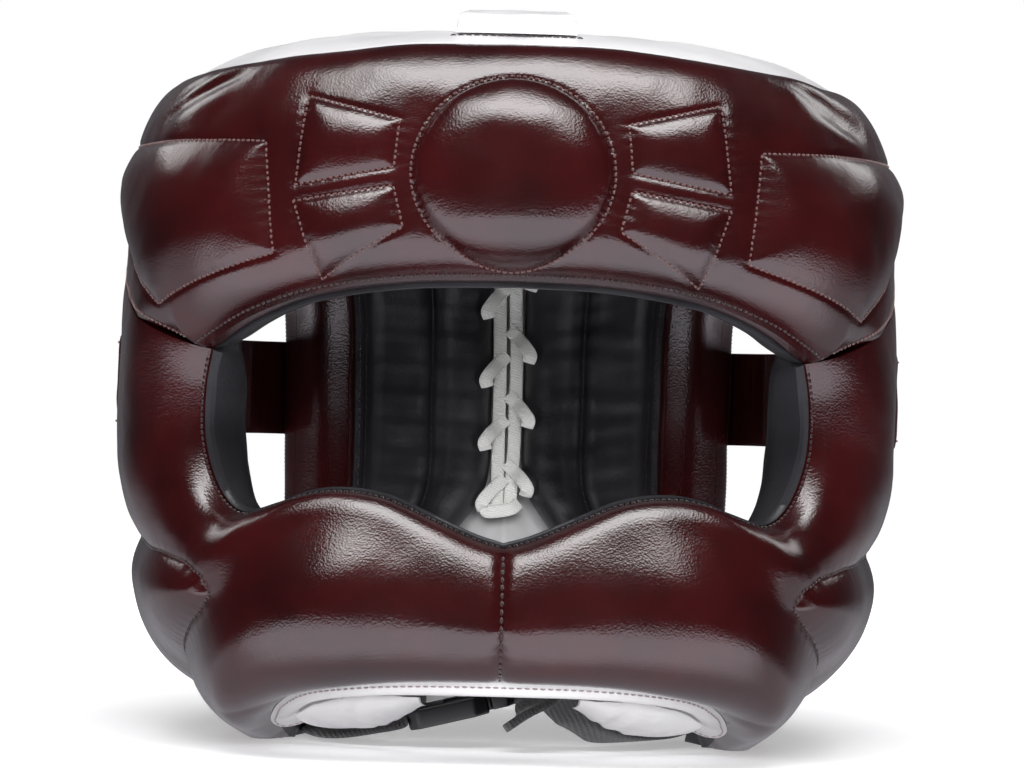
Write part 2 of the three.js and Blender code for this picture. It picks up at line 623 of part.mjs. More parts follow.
const crownStrap = paddedSheet({
  columns: 4,
  rows: 15,
  sewnRows: 15,
  openAt: (a, b) => {
    const { half, front, back, thick, edgeThick, sideRound, endRound } = CROWN_STRAP;
    const side = rounded(Math.min(a, 1 - a) * 2 * half, sideRound);
    const ends = rounded(Math.min(b, 1 - b) * (back - front), endRound);
    return crownStrapPlace(a, b, SEAM_GAP + lerp(edgeThick, thick, side * ends));
  },
  sewnAt: (a, b) => crownStrapPlace(a, b, SEAM_GAP),
});

// How far the cheek or the back half stands out at a place beside the ear.
function sideHeight(deg, z) {
  const edge = backPlace(0, (z - BACK_BOTTOM) / (BACK_TOP - BACK_BOTTOM));
  if (deg > edge.deg) {
    const a = (deg - edge.deg) / (readRows(BACK_EDGE, "z", "middleDeg", z) - edge.deg);
    return a > 1 ? 0 : SEWN_EDGE + BACK.body * backRise(a, edge);
  }
  if (deg > REAR_EDGE_DEG) return 0;
  let low = CHEEK_ROW;
  let high = FACE_LAST;
  let place = null;
  for (let pass = 0; pass < SEARCH_PASSES; pass += 1) {
    const step = (low + high) / 2;
    const { sightDeg, edgeDeg } = faceStation(step);
    place = facePlace(step, (deg - sightDeg) / (edgeDeg - sightDeg), 0);
    if (place.z > z) high = step;
    else low = step;
  }
  return place.fromEdge <= 0 ? 0 : faceHeight(low, place);
}

// Leather drawn tight over a pad: it bridges the edges of what lies under it.
function drapedHeight(heightAt, deg) {
  return Math.max(...DRAPE_TURNS.map((turn) => heightAt(deg + turn) - Math.abs(turn) * DRAPE_SLOPE), 0);
}

// Strap over the ear opening, drawn over the rear of the cheek and on to the back half.
function earStrapPlace(a, b, thick) {
  const deg = lerp(EAR_STRAP.fromDeg, EAR_STRAP.toDeg, a);
  const z = lerp(EAR_STRAP.low, EAR_STRAP.high, b);
  const middle = (EAR_STRAP.low + EAR_STRAP.high) / 2;
  const under = drapedHeight((at) => sideHeight(at, middle), deg);
  return offPoint(deg, z, SEAM_GAP / 2 + under + EAR_STRAP.lift + thick);
}

const earStrap = paddedSheet({
  columns: 22,
  rows: 2,
  sewnRows: 2,
  openAt: (a, b) => {
    const round = rounded(Math.min(b, 1 - b), EAR_STRAP.edgeShare);
    return earStrapPlace(a, b, lerp(EAR_STRAP.edgeThick, EAR_STRAP.thick, round));
  },
  sewnAt: (a, b) => earStrapPlace(a, b, 0),
});

// Tongue over the nape, on the outside of the back halves.
function tonguePlace(a, b, thick) {
  const z = lerp(TONGUE.bottom, TONGUE.top, b);
  const middleDeg = readRows(BACK_EDGE, "z", "middleDeg", z);
  const reach = 180 - middleDeg + TONGUE.overlap;
  const turn = lerp(-reach, reach, a);
  const under = drapedHeight((at) => sideHeight(at, z), 180 - Math.abs(turn));
  return offPoint(180 + turn, z, SEAM_GAP / 2 + under + TONGUE.lift + thick);
}

const backTongue = paddedSheet({
  columns: 8,
  rows: 13,
  sewnRows: 13,
  openAt: (a, b) => tonguePlace(a, b, TONGUE.thick),
  sewnAt: (a, b) => tonguePlace(a, b, 0),
});

// Lace: up the left edge of the back opening and down the right one, with a loop over the rolled
// lining at each hole, and a tail on each side at the nape.
function laceReach(side, z) {
  const holes = LACE_LOOPS[side];
  const swing = Math.max(...holes.map((hole) => 1 - Math.abs(z - hole) / LACE_LOOPS.halfHeight), 0);
  return lerp(LACE.strand, LACE.loop, swing * swing * (3 - 2 * swing));
}

function lacePoint(x, z) {
  const deg = 180 - Math.atan2(x, readRows(LEVELS, "z", "back", z)) / DEG;
  const edge = backPlace(0, (z - BACK_BOTTOM) / (BACK_TOP - BACK_BOTTOM));
  const middleDeg = readRows(BACK_EDGE, "z", "middleDeg", z);
  const turned = Math.min(deg, 360 - deg) - LACE.width / 2 * LACE.degPerMm;
  const share = (turned - edge.deg) / (middleDeg - edge.deg);
  const under = share > 1 ? 0 : backLiningDepth(share, edge);
  return offPoint(deg, z, -SEAM_GAP / 2 - Math.max(under, LACE.depth) - LACE.thick / 2 - LACE.lift);
}

function laceSide(side, sign) {
  const points = [];
  for (let k = 0; k <= LACE.steps; k += 1) {
    const z = lerp(LACE.tail, LACE.top, k / LACE.steps);
    const spread = LACE_SPREAD.reach * smooth(LACE_SPREAD.fromZ - z, 0, LACE_SPREAD.over);
    points.push(lacePoint(sign * (laceReach(side, z) + spread), z));
  }
  return points;
}

const laceCross = lacePoint(0, LACE.top + LACE.crossRise);
const laceLine = [...laceSide("left", -1), laceCross, ...laceSide("right", 1).reverse()];
const laceCurve = new THREE.CatmullRomCurve3(laceLine);
const laceFace = new THREE.Vector3(0, -1, 0);
const backLace = bandSolid(Array.from({ length: LACE.stations + 1 }, (_, k) => {
  const middle = laceCurve.getPoint(k / LACE.stations);
  const along = laceCurve.getTangent(k / LACE.stations);
  const across = along.clone().cross(laceFace).normalize();
  const through = across.clone().cross(along).normalize();
  return { middle, across, through, halfWidth: LACE.width / 2, halfThick: LACE.thick / 2 };
}));

// Binding round the arch: it closes the lower edge of both face guards and their linings.
function bindingSection(turn) {
  const station = (step) => {
    const { edgeDeg, edgeZ } = faceStation(Math.abs(step));
    return { deg: edgeDeg * Math.sign(step), z: edgeZ };
  };
  const here = station(turn);
  const previous = station(turn - BINDING.turnStep);
  const next = station(turn + BINDING.turnStep);
  const along = sewnPoint(next.deg, next.z).sub(sewnPoint(previous.deg, previous.z)).normalize();
  const middle = sewnPoint(here.deg, here.z);
  const out = sewnNormal(here.deg, here.z);
  const down = along.clone().cross(out).normalize();
  const { gap, width, outside, inside, round } = BINDING;
  const fold = gap + width;
  const outline = [
    [gap, outside], [fold - round, outside], [fold, outside - round],
    [fold, round - inside], [fold - round, -inside], [gap, -inside],
  ];
  return outline.map(([drop, height]) => {
    const point = middle.clone().addScaledVector(down, drop).addScaledVector(out, height);
    point.z = Math.max(point.z, FLOOR_Z + BINDING.gap);
    return point;
  });
}

const chinBinding = sectionSolid(Array.from({ length: BINDING.stations + 1 }, (_, k) =>
  bindingSection(lerp(-ARCH_END_ROW, ARCH_END_ROW, k / BINDING.stations))));

// White leather inside one end of the arch, from the binding back and down to the floor.
function jawLiningPlace(a, b, thick) {
  const deg = lerp(JAW_LINING[0].deg, JAW_LINING.at(-1).deg, a);
  const read = (column) => readRows(JAW_LINING, "deg", column, deg);
  const z = lerp(read("high"), read("low"), Math.sin(b * Math.PI / 2));
  const inside = JAW_LINING_START + read("reach") * (1 - Math.cos(b * Math.PI / 2));
  const point = sewnPoint(deg, JAW_LINING_LEVEL);
  point.addScaledVector(sewnNormal(deg, JAW_LINING_LEVEL), -inside - thick);
  point.z = Math.max(z, FLOOR_Z);
  return point;
}

const jawLining = paddedSheet({
  columns: 9,
  rows: 4,
  sewnRows: 4,
  openAt: (a, b) => jawLiningPlace(a, b, 0),
  sewnAt: (a, b) => jawLiningPlace(a, b, JAW_LINING_THICK),
});

// Chin strap lengths.
function strapSolid(rows, count, roundStart, roundEnd) {
  const middles = rows.map((row) => new THREE.Vector3(row.x, row.y + AXIS_Y, row.z));
  const curve = new THREE.CatmullRomCurve3(middles);
  rows.forEach((row, k) => {
    row.share = k / (rows.length - 1);
  });
  const length = curve.getLength();
  return bandSolid(Array.from({ length: count + 1 }, (_, k) => {
    const share = k / count;
    const middle = curve.getPoint(share);
    const along = curve.getTangent(share);
    const level = new THREE.Vector3(0, 0, 1).cross(along).normalize();
    const across = level.applyAxisAngle(along, readRows(rows, "share", "turn", share) * DEG);
    const through = along.clone().cross(across).normalize();
    const fromStart = roundStart ? rounded(share * length + STRAP.tip, STRAP.width / 2) : 1;
    const fromEnd = roundEnd ? rounded((1 - share) * length + STRAP.tip, STRAP.width) : 1;
    const halfWidth = STRAP.width / 2 * fromStart * fromEnd;
    return { middle, across, through, halfWidth, halfThick: STRAP.thick / 2 };
  }));
}

const strapLeft = strapSolid(STRAP_LEFT, STRAP.leftStations, true, false);
const strapRight = strapSolid(STRAP_RIGHT, STRAP.rightStations, false, true);

// Buckle: a flat body with an open slot, and a prong that is pushed into it.
function bucklePlate(outline, thick) {
  const shape = new THREE.Shape(outline.map(([x, y]) => new THREE.Vector2(x, y)));
  const geometry = new THREE.ExtrudeGeometry(shape, { depth: thick, bevelEnabled: false });
  geometry.translate(0, 0, -thick / 2);
  geometry.rotateY(-BUCKLE.pitch * DEG);
  geometry.translate(BUCKLE.x, BUCKLE.y + AXIS_Y, BUCKLE.z);
  geometry.deleteAttribute("normal");
  geometry.deleteAttribute("uv");
  return mergeVertices(geometry, 1e-4);
}

// Outline that is the same on both sides of the strap, from its points on one side.
function bothSides(half) {
  const other = half.map(([x, y]) => [x, -y]).reverse();
  return [...other, ...half];
}

const bodyHalf = BUCKLE.length / 2;
const bodySide = BUCKLE.width / 2;
const slotSide = BUCKLE.slot / 2;
const buckleBody = bucklePlate(bothSides([
  [0, slotSide],
  [bodyHalf, slotSide],
  [bodyHalf, bodySide - BUCKLE.mouthCut],
  [bodyHalf - BUCKLE.mouthCut, bodySide],
  [BUCKLE.rearCut - bodyHalf, bodySide],
  [-bodyHalf, bodySide - BUCKLE.rearCut],
]), BUCKLE.thick);
const prongSide = slotSide - BUCKLE.wall;
const collarSide = bodySide - PRONG.inset;
const buckleProng = bucklePlate(bothSides([
  [bodyHalf + PRONG.tip, PRONG.tipHalf],
  [bodyHalf + PRONG.neck, PRONG.neckHalf],
  [bodyHalf + PRONG.collarEnd, collarSide],
  [bodyHalf + PRONG.collar, collarSide],
  [bodyHalf + PRONG.collar, prongSide],
  [BUCKLE.wall, prongSide],
]), PRONG.thick);

// Mirror image across the middle of the headgear.
function mirrored(geometry) {
  const copy = geometry.clone();
  copy.scale(-1, 1, 1);
  const index = copy.index.array;
  for (let k = 0; k < index.length; k += 3) {
    [index[k], index[k + 1]] = [index[k + 1], index[k]];
  }
  return copy;
}

const headgear = new THREE.Group();
headgear.name = "boxing_headgear";

function addPiece(name, geometry, finish) {
  const mesh = new THREE.Mesh(geometry, new THREE.MeshStandardMaterial(finish));
  mesh.name = name;
  headgear.add(mesh);
}

function addPair(name, geometry, finish) {
  addPiece(`${name}_left`, mirrored(geometry), finish);
  addPiece(`${name}_right`, geometry, finish);
}

addPiece("forehead_pad", foreheadPad, OXBLOOD);
addPiece("forehead_lining", foreheadLining, BLACK_LEATHER);
addPair("face_guard", faceGuard, OXBLOOD);
addPiece("face_lining", faceLining, BLACK_LEATHER);
addPiece("chin_binding", chinBinding, WHITE_LEATHER);
addPair("jaw_lining", jawLining, WHITE_LEATHER);
addPiece("crown_panel", crownPanel, WHITE_LEATHER);
addPiece("crown_strap", crownStrap, WHITE_LEATHER);
addPair("back_pad", backPad, OXBLOOD);
addPair("back_lining", backLining, BLACK_LEATHER);
addPiece("back_tongue", backTongue, WHITE_LEATHER);
addPiece("back_lace", backLace, WHITE_LACE);
addPair("ear_strap", earStrap, OXBLOOD);
addPiece("chin_strap_left", strapLeft, BLACK_WEBBING);
addPiece("chin_strap_right", strapRight, BLACK_WEBBING);
addPiece("buckle_body", buckleBody, BLACK_PLASTIC);
addPiece("buckle_prong", buckleProng, BLACK_PLASTIC);

export default headgear;
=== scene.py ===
"""Boxing headgear with a nose bar: polished oxblood pads over a black lining, with a white crown,
chin binding and lace, and a black chin strap. Shapes are worked out in millimetres."""
import math
from functools import partial

import bmesh
import bpy
import numpy as np
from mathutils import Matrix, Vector


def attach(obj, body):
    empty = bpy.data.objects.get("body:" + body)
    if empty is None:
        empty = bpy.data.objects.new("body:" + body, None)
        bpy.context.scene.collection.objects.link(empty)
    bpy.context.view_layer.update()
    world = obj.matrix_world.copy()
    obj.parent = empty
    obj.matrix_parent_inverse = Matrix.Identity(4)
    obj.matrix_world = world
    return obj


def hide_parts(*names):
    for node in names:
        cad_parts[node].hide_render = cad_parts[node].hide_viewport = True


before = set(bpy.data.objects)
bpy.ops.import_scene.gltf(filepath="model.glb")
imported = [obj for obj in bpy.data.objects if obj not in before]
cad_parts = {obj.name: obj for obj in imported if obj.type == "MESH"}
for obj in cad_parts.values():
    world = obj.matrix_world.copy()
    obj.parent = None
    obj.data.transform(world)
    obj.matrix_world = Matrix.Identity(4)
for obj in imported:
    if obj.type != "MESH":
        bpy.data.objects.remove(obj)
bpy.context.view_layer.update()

MM = 0.001
AXIS_Y = 5.4                   # head axis, behind the middle of the footprint
SEAM_GAP = 0.8                 # clearance between a leather pad and its lining
SEWN_EDGE = 1.5                # thickness of a pad at an edge that is sewn flat
LINING_LIP = 1.8               # rolled lining that shows past the leather at the sight opening
LIP_ROLL = 0.9                 # how far that roll stands out
REAR_EDGE_DEG = 104            # rear edge of forehead pad and cheeks, from the front round
SEARCH_PASSES = 20             # halvings that find a place on a surface
SLOPE_STEP = 0.5               # degrees and mm each way that give the sewn surface's slope
SHARP_DEG, BUCKLE_SHARP_DEG = 50, 35    # edges sharper than this aren't shaded smooth
SIDES = ((-1, "left"), (1, "right"))


def table(columns, rows):
    """A table with named columns, one array for each."""
    return dict(zip(columns.split(), np.array(rows, float).T))


# The sewn surface that pads and linings meet on, for each height.
LEVELS = table("z half_width front back front_square back_square", [
    (0, 65, 104, 101, 2.6, 2.2),
    (10, 75.5, 111, 104, 2.6, 2.2),
    (20, 84, 116, 106, 2.6, 2.2),
    (45, 95, 122, 109.5, 2.8, 2.2),
    (70, 99.5, 122, 111, 3.0, 2.2),
    (100, 100, 118, 112, 3.3, 2.2),
    (134, 99.5, 111, 111, 3.3, 2.2),
    (165, 98.5, 104.5, 107, 3.1, 2.2),
    (190, 97, 99.5, 102, 2.9, 2.2),
    (206, 95, 96, 98, 2.8, 2.2),
])

# Top edge of the forehead pad and its edge over the sight opening, by the width from the middle.
BROW_EDGE = table("x top sight", [
    (0, 203.5, 135.5), (28, 203, 134.5), (54, 200, 130.5), (71, 198, 124), (85, 196, 115),
])
BROW_CORNER_X = 85
BROW_CORNER_Z = 115
BROW_TOP_LEVEL = 200
BROW_FALL_DEG = 50
BROW_TOP_REAR = 193.5
BROW_SEAM_REAR = 168
BROW = dict(body=15, seam_edge=14, top_round=32, sight_round=14, seam_round=9, end_round=18,
            corner_deg=9, lip_deg=6, lining=10, lining_round=16, lip=1.0, clear=0.1, rim_stitch=0.8,
            seam_stitch=2.2, seam_stitch_end=4)
FOREHEAD_GRID = (430, 150, 4)            # columns, outer rows and inner rows of the mesh
FOREHEAD_LINING_GRID = (240, 46, 24)
BROW_STEPS = (0.25, 0.3)                 # degrees and mm between the places that give a slope
BROW_RIM_STEPS = (0.25, 0.2)
# Soft waves of the leather: height, size across and seed.
FOREHEAD_RIPPLES = ((0.3, 34, 3), (0.07, 15, 5), (0.03, 8, 4))
FOREHEAD_LINING_RIPPLES = ((0.3, 14, 21),)

# Stations of cheek, jaw and nose bar, from the middle of the nose bar up to the forehead seam.
FACE_ROWS = table("step sight_x sight_z edge_deg edge_z", [
    (0, 0, 60.5, 0, 24),
    (1, 8.5, 63, 11, 23.8),
    (2, 20, 68, 20, 22.6),
    (3, 33.5, 73.6, 28.5, 20),
    (4, 46, 75.3, 35.3, 15.2),
    (5, 56, 74, 42, 9.4),
    (6, 65, 70.5, 51, 3.4),
    (7, 74.4, 68.3, 64, -1.6),
    (8, 81.5, 74.5, 84, 12.5),
    (9, 86.3, 88, 99, 44),
    (10, 86.8, 103, 104, 105),
    (11, 85, 115, REAR_EDGE_DEG, BROW_SEAM_REAR),
])
FACE_LAST = 11
SEAM_STEP = 0.006              # half of the seam in the middle of the nose bar, in stations
STATION_RUN = 13               # mm from one station to the next
SEAM_END_SHARE = 0.985         # where the jaw seam runs out into the free edge
CHEEK_ROW = 8                  # station where the cheek beside the ear begins
CURVE_LENGTH = 1.06            # length of curved leather for each length of the straight line
FACE = dict(body=15.5, jaw_body=8.5, seam_edge=14.5, sight_round=26, edge_round=44, seam_round=16,
            lining_gap=0.3, sewn_back=-0.2, thin_from_deg=34, thin_to_deg=64, thin_low=45,
            thin_high=85, dip=1.6, dip_width=4, cheek_lining=15, bar_lining=8, lining_round=15,
            bar_row=5, cheek_row=9, seam_share=0.6, seam_pitch=3.1, seam_reach=2)
FACE_GRID = (290, 150, 4)
FACE_LINING_GRID = (330, 46)
FACE_LINING_SHARES = np.concatenate([np.linspace(0, 0.12, 14), np.linspace(0.2, 1, 6)])
FACE_STEPS = (0.02, 0.006)
FACE_RIPPLES = ((0.3, 34, 40), (0.035, 9, 50))
FACE_LINING_RIPPLES = ((0.25, 14, 31),)
LINING_MM_PER_DEG = 1.7
# Search for a place on the cheek: a grid of stations and shares, then steps that close in on it.
CHEEK_SEARCH = dict(stations=(0.1, 10.9, 110), shares=(0.02, 0.98, 60), passes=6, step=0.01)
CHEEK_STATION_LIMITS, CHEEK_SHARE_LIMITS = (0.05, 10.95), (0.01, 0.99)
# Stitches along the sight edge: stations, distances from the edge that give their slope, and lift.
EDGE_STITCH = dict(first=0.1, last=10.8, on=-0.1, inside=2, lift=1)
# Stitches down the middle seam: shares of its length, thread radius and pitch.
MIDDLE_STITCH = dict(first=0.05, last=0.97, radius=0.42, pitch=2.3)

# Nose bar and chin are fullest low down, and more so towards the jaw.
BAR = dict(middle_top=13.5, middle_low=17, jaw_top=9.5, jaw_low=24, from_row=0.5, to_row=4,
           from_share=0.1, to_share=0.65, end_row=3.8, cheek_row=6.2, edge_round=22)

# Stitched compartments of one side, clockwise: corners as width along the forehead and height.
DOME = dict(z=164, radius=28, rise=26.6, puff=9, stitch_out=0.7)
COMPARTMENT_LEVEL = 165
COMPARTMENTS = [
    dict(puff=1.9, round=9, corners=[(33, 177.5), (61.3, 183.8), (61, 158), (33.5, 163.6)]),
    dict(puff=1.9, round=9, corners=[(33.2, 158.3), (60.6, 153.3), (51.5, 133.2), (29.6, 146.7)]),
    dict(puff=5, round=20, corners=[(72.3, 170.5), (172, 175), (172, 162), (105.2, 126),
                                    (64.4, 139)]),
]
# Jaw compartment, clockwise from its front: angle and height. The edge at the rear is left flat.
JAW_PUFF = dict(puff=7, round=17, mm_per_deg=1.75, valley=1.2, valley_width=5, rear_edge=4)
JAW_CORNERS = [(35.5, 49), (36.8, 53.4), (40.5, 56.6), (47, 58.8), (103, 63), (103, 6),
               (80, 12), (67, 20), (58, 26.5), (50, 33), (43.5, 39), (38.5, 44.5)]

# Sewn seams: the groove that the thread pulls, and the puckers beside it.
GROOVE = dict(depth=0.45, width=1.1)
PUCKER = dict(height=0.08, pitch=3.4, reach=2.4)
STITCH = dict(pitch=1.75, share=0.74, radius=0.36)
# Points along the path of each row of stitches; for compartments and jaw, along each of their edges.
PATH_POINTS = dict(dome=400, compartment=60, brow_seam=200, brow_rim=500, sight_edge=700, jaw=40,
                   middle_seam=200, back=400, crown=80)

# Back halves.
BACK_EDGE = table("z front_deg middle_deg", [
    (0, 143, 165), (35, 141.5, 166), (58, 141, 171.5), (74, 141, 176.6), (100, 141, 177.2),
    (140, 139, 177.2), (156, 131, 177.2), (168, 119, 177.2), (176, 109, 177.2), (189, 106, 177.2),
])
BACK = dict(bottom=0, foot=3, top=188, body=12, lining=13, round=15, channel=3, channel_width=7,
            channels=(0.3, 0.68), turned_share=0.2, turned_over=0.3, tuck=0.9, tuck_from=0.8,
            turned_under=0.2)
BACK_ROWS, BACK_INNER_ROWS = 150, 20
BACK_COLUMNS = dict(outside=80, turned=30, lining=120)
BACK_STEPS = (0.01, 0.4)
BACK_RIPPLES = ((0.3, 24, 60),)
BACK_LINING_RIPPLES = ((0.25, 22, 80),)
# Wrinkles across the lining, drawn out along its width.
BACK_WRINKLES, WRINKLE_STRETCH = ((0.16, 7, 70),), 0.3
# Stitches up the back: heights, pitch, shares of the outer hems, and distance past the turned edge.
BACK_STITCH = dict(low=6, high=182, pitch=2.6, hems=(0.05, 0.95), past_turned=0.03)

# Crown, straps, tongue and lace.
CROWN = dict(apex=212, bulge=4.2, spread=1.03, thick=12, rim_thick=6, reach=95, back_rim=188.7,
             rim_gap=0.6, fall_from=REAR_EDGE_DEG + 2, fall_to=138)
CROWN_STRAP = dict(front_half=17.5, half=15.5, flare=22, front=-86, back=92, thick=5.5,
                   edge_thick=1.6, side_round=1.5, end_round=3)
CROWN_RIPPLES = ((0.35, 26, 90),)
CROWN_STRAP_RIPPLES = ((0.15, 12, 95),)
CROWN_GRID = 110
CROWN_STRAP_GRID, EAR_STRAP_GRID = (40, 170), (120, 26)
TONGUE_GRID, JAW_LINING_GRID = (60, 110), (70, 40)
# Row of stitches across the strap's front end.
CROWN_STITCH = dict(past_side=4, ahead=1.2, lift=0.3, pitch=2.2, radius=0.22)
EAR_STRAP = dict(from_deg=84, to_deg=150, low=90, high=120, thick=2, edge_thick=0.9, edge_share=0.2,
                 lift=0.3, stitch_shares=(0.1, 0.9), stitch_lift=0.97, stitch_pitch=2.4)
EAR_STRAP_RIPPLES = ((0.2, 9, 100),)
DRAPE_TURNS = (-14, -11, -8, -5, -2, 0, 2, 5, 8, 11, 14)
DRAPE_SLOPE = 0.8
TONGUE = dict(top=183, bottom=4, thick=2.4, lift=1, overlap=5, mm_per_deg=1.9, fold_stretch=0.6)
TONGUE_RIPPLES = ((0.45, 14, 110),)
LACE = dict(width=4.4, thick=1.5, strand=2.6, top=184, tail=66, deg_per_mm=0.52, depth=3.2,
            lift=0.6, edge_share=0.16, crown=0.2, stations=40, controls=12)
LACE_RIPPLES = ((0.35, 40, 130),)
# One loop over a strand, from the middle outwards and back under, and the wrap at the tail.
LACE_LOOP = table("x rise lift", [
    (0.2, 5.6, 1.3), (3.0, 3.0, 2.1), (6.0, 0.0, 2.0), (8.0, -2.8, 1.3), (7.4, -4.8, 0.1),
])
LACE_WRAP = table("x rise lift", [
    (-6.6, 1.2, 0.2), (-6.2, -0.4, 1.6), (-1.5, -0.2, 2.5), (2.6, 0.8, 2.3), (4.6, 2.4, 0.6),
])
# Heights of the loops over the strands, on each side.
LACE_LOOPS = {-1: (159, 136, 112.5, 91, 71), 1: (168, 146, 121, 99, 76)}

# White leather at the arch.
BINDING = dict(width=5, outside=3.6, inside=5.5, gap=0.4, last_row=4.45, stations=240, turn_from=8,
               turn_to=13, turn_thin=0.6, flat=0.4, fold=0.8, stitch_in=1.7, stitch_lift=0.05)
BINDING_STITCH = dict(pitch=2.2, radius=0.28)
# Where the binding turns round the end of the arch: angle, height and distance inside the sewn
# surface.
BINDING_LOOP = [(40.6, 10.5, 0), (42.4, 8.4, 0.5), (42.9, 6.6, 1.5), (42.3, 5.1, 3.5), (40.6, 4.3, 6),
                (37.5, 4.2, 9.5), (34, 4.6, 13)]
BINDING_LOOP_MIDDLE = (37.4, 8.6, 4)
JAW_LINING = table("deg high low reach", [
    (12, 17.3, 14.5, 12), (17, 17.3, 11, 17), (23, 16.6, 8, 21), (30, 14, 6.2, 22),
    (35.5, 10.2, 5.6, 19),
])
JAW_LINING_THICK = 2.4
JAW_LINING_LEVEL = 25
JAW_LINING_START = 9.9
JAW_LINING_RIPPLES = ((0.25, 9, 120),)

# Chin strap and buckle: middle line of each length, and how far its width is turned up from level.
STRAP = dict(width=18, thick=2.4, tip=1.2, edge_share=0.08, crown=0.1, stations=200)
STRAP_LEFT = table("x y z turn", [
    (-72.5, 4, 38, -86), (-71.2, 2, 20, -76), (-66.4, -2, 9.4, -38), (-57.4, -14, 4.4, 4),
    (-50, -38, 4.8, 20), (-43, -54, 5.2, 20), (-33, -60, 6.2, 8), (-27, -60, 7.55, 0),
])
STRAP_RIGHT = table("x y z turn", [
    (80.3, 5, 38, 86), (76.9, -1, 22, 80), (59.6, -20, 8.4, 32), (47, -42, 3.6, 8), (31, -59, 4.6, 10),
    (23, -63, 9.4, 14), (17.5, -67, 15.5, 16), (13, -72, 16.4, 16), (9, -77, 12, 16),
    (2.5, -80, 7.4, 16),
])
BUCKLE = dict(x=-15, y=-60, z=10.5, pitch=14, length=24, width=22, thick=6, slot=12, wall=0.35,
              rear_cut=3, mouth_cut=4, bevel=0.9)
PRONG = dict(collar=1, collar_end=6, neck=7.5, tip=10, neck_half=4, tip_half=5, inset=3, thick=4.4,
             bevel=0.6)


def read(rows, key, column, at):
    """Smooth curve through the rows of a table, read at any value of its key column."""
    keys, values = rows[key], rows[column]
    slopes = np.empty(len(keys))
    slopes[1:-1] = (values[2:] - values[:-2]) / (keys[2:] - keys[:-2])
    slopes[0] = (values[1] - values[0]) / (keys[1] - keys[0])
    slopes[-1] = (values[-1] - values[-2]) / (keys[-1] - keys[-2])
    k = np.searchsorted(keys[1:-1], at)
    span = keys[k + 1] - keys[k]
    t = np.clip((at - keys[k]) / span, 0, 1)
    start = (2 * t ** 3 - 3 * t ** 2 + 1) * values[k] + (t ** 3 - 2 * t ** 2 + t) * span * slopes[k]
    end = (3 * t ** 2 - 2 * t ** 3) * values[k + 1] + (t ** 3 - t ** 2) * span * slopes[k + 1]
    return start + end


def lerp(a, b, share):
    return a + (b - a) * share


def smooth(value, low, high):
    t = np.clip((value - low) / (high - low), 0, 1)
    return t * t * (3 - 2 * t)


def rounded(distance, width):
    """Quarter round: 0 at an edge, 1 once the given width is reached."""
    k = np.clip(distance / width, 0, 1)
    return np.sqrt(k * (2 - k))


def pillow(distance, width):
    """Softer round than a quarter circle: 0 at an edge, 1 once the given width is reached."""
    k = np.clip(distance / width, 0, 1)
    return k * (2 - k)


def unit(vectors):
    return vectors / np.maximum(np.linalg.norm(vectors, axis=-1, keepdims=True), 1e-9)


def ripple(u, v, size, seed, waves=9):
    """Soft uneven waves about the given size across, mostly from -1 to 1, the same on each run."""
    draw = np.random.default_rng(seed)
    total = 0
    for _ in range(waves):
        turn, phase = draw.uniform(0, 2 * np.pi, 2)
        length = size * draw.uniform(0.7, 1.6)
        total = total + np.sin((u * np.cos(turn) + v * np.sin(turn)) * 2 * np.pi / length + phase)
    return total / math.sqrt(waves)


def ripples(u, v, waves, turn=0):
    """Sum of soft waves, each given by its height, size across and seed."""
    return sum(height * ripple(u, v, size, seed + turn) for height, size, seed in waves)


def for_side(points, side):
    """Points of the right side, or their mirror image for the left."""
    return points * np.array([side, 1, 1])


def path_run(path):
    """Length along a path up to each of its points."""
    return np.concatenate([[0], np.cumsum(np.linalg.norm(np.diff(path, axis=0), axis=1))])


def sewn_point(deg, z):
    """Point of the sewn surface, by the angle round the head from the front and the height."""
    side, ahead = np.sin(np.radians(deg)), np.cos(np.radians(deg))
    reach, square = (np.where(ahead > 0, read(LEVELS, "z", front, z), read(LEVELS, "z", back, z))
                     for front, back in (("front", "back"), ("front_square", "back_square")))
    half_width = read(LEVELS, "z", "half_width", z)
    total = (np.abs(side) / half_width) ** square + (np.abs(ahead) / reach) ** square
    radius = total ** (-1 / square)
    return np.stack([radius * side, AXIS_Y - radius * ahead, z + 0 * radius], -1)


def sewn_normal(deg, z):
    along = sewn_point(deg + SLOPE_STEP, z) - sewn_point(deg - SLOPE_STEP, z)
    up = sewn_point(deg, z + SLOPE_STEP) - sewn_point(deg, z - SLOPE_STEP)
    return unit(np.cross(along, up))


def off_point(deg, z, out):
    """Point at a distance outside the sewn surface, pressed flat where it meets the floor."""
    deg, z, out = np.broadcast_arrays(np.asarray(deg, float), z, out)
    point = sewn_point(deg, z) + sewn_normal(deg, z) * out[..., None]
    point[..., 2] = np.maximum(point[..., 2], 0)
    return point


def deg_at_width(x, z):
    half_width = read(LEVELS, "z", "half_width", z)
    front = read(LEVELS, "z", "front", z)
    square = read(LEVELS, "z", "front_square", z)
    ahead = front * (1 - (np.abs(x) / half_width) ** square) ** (1 / square)
    return np.degrees(np.arctan2(x, ahead))


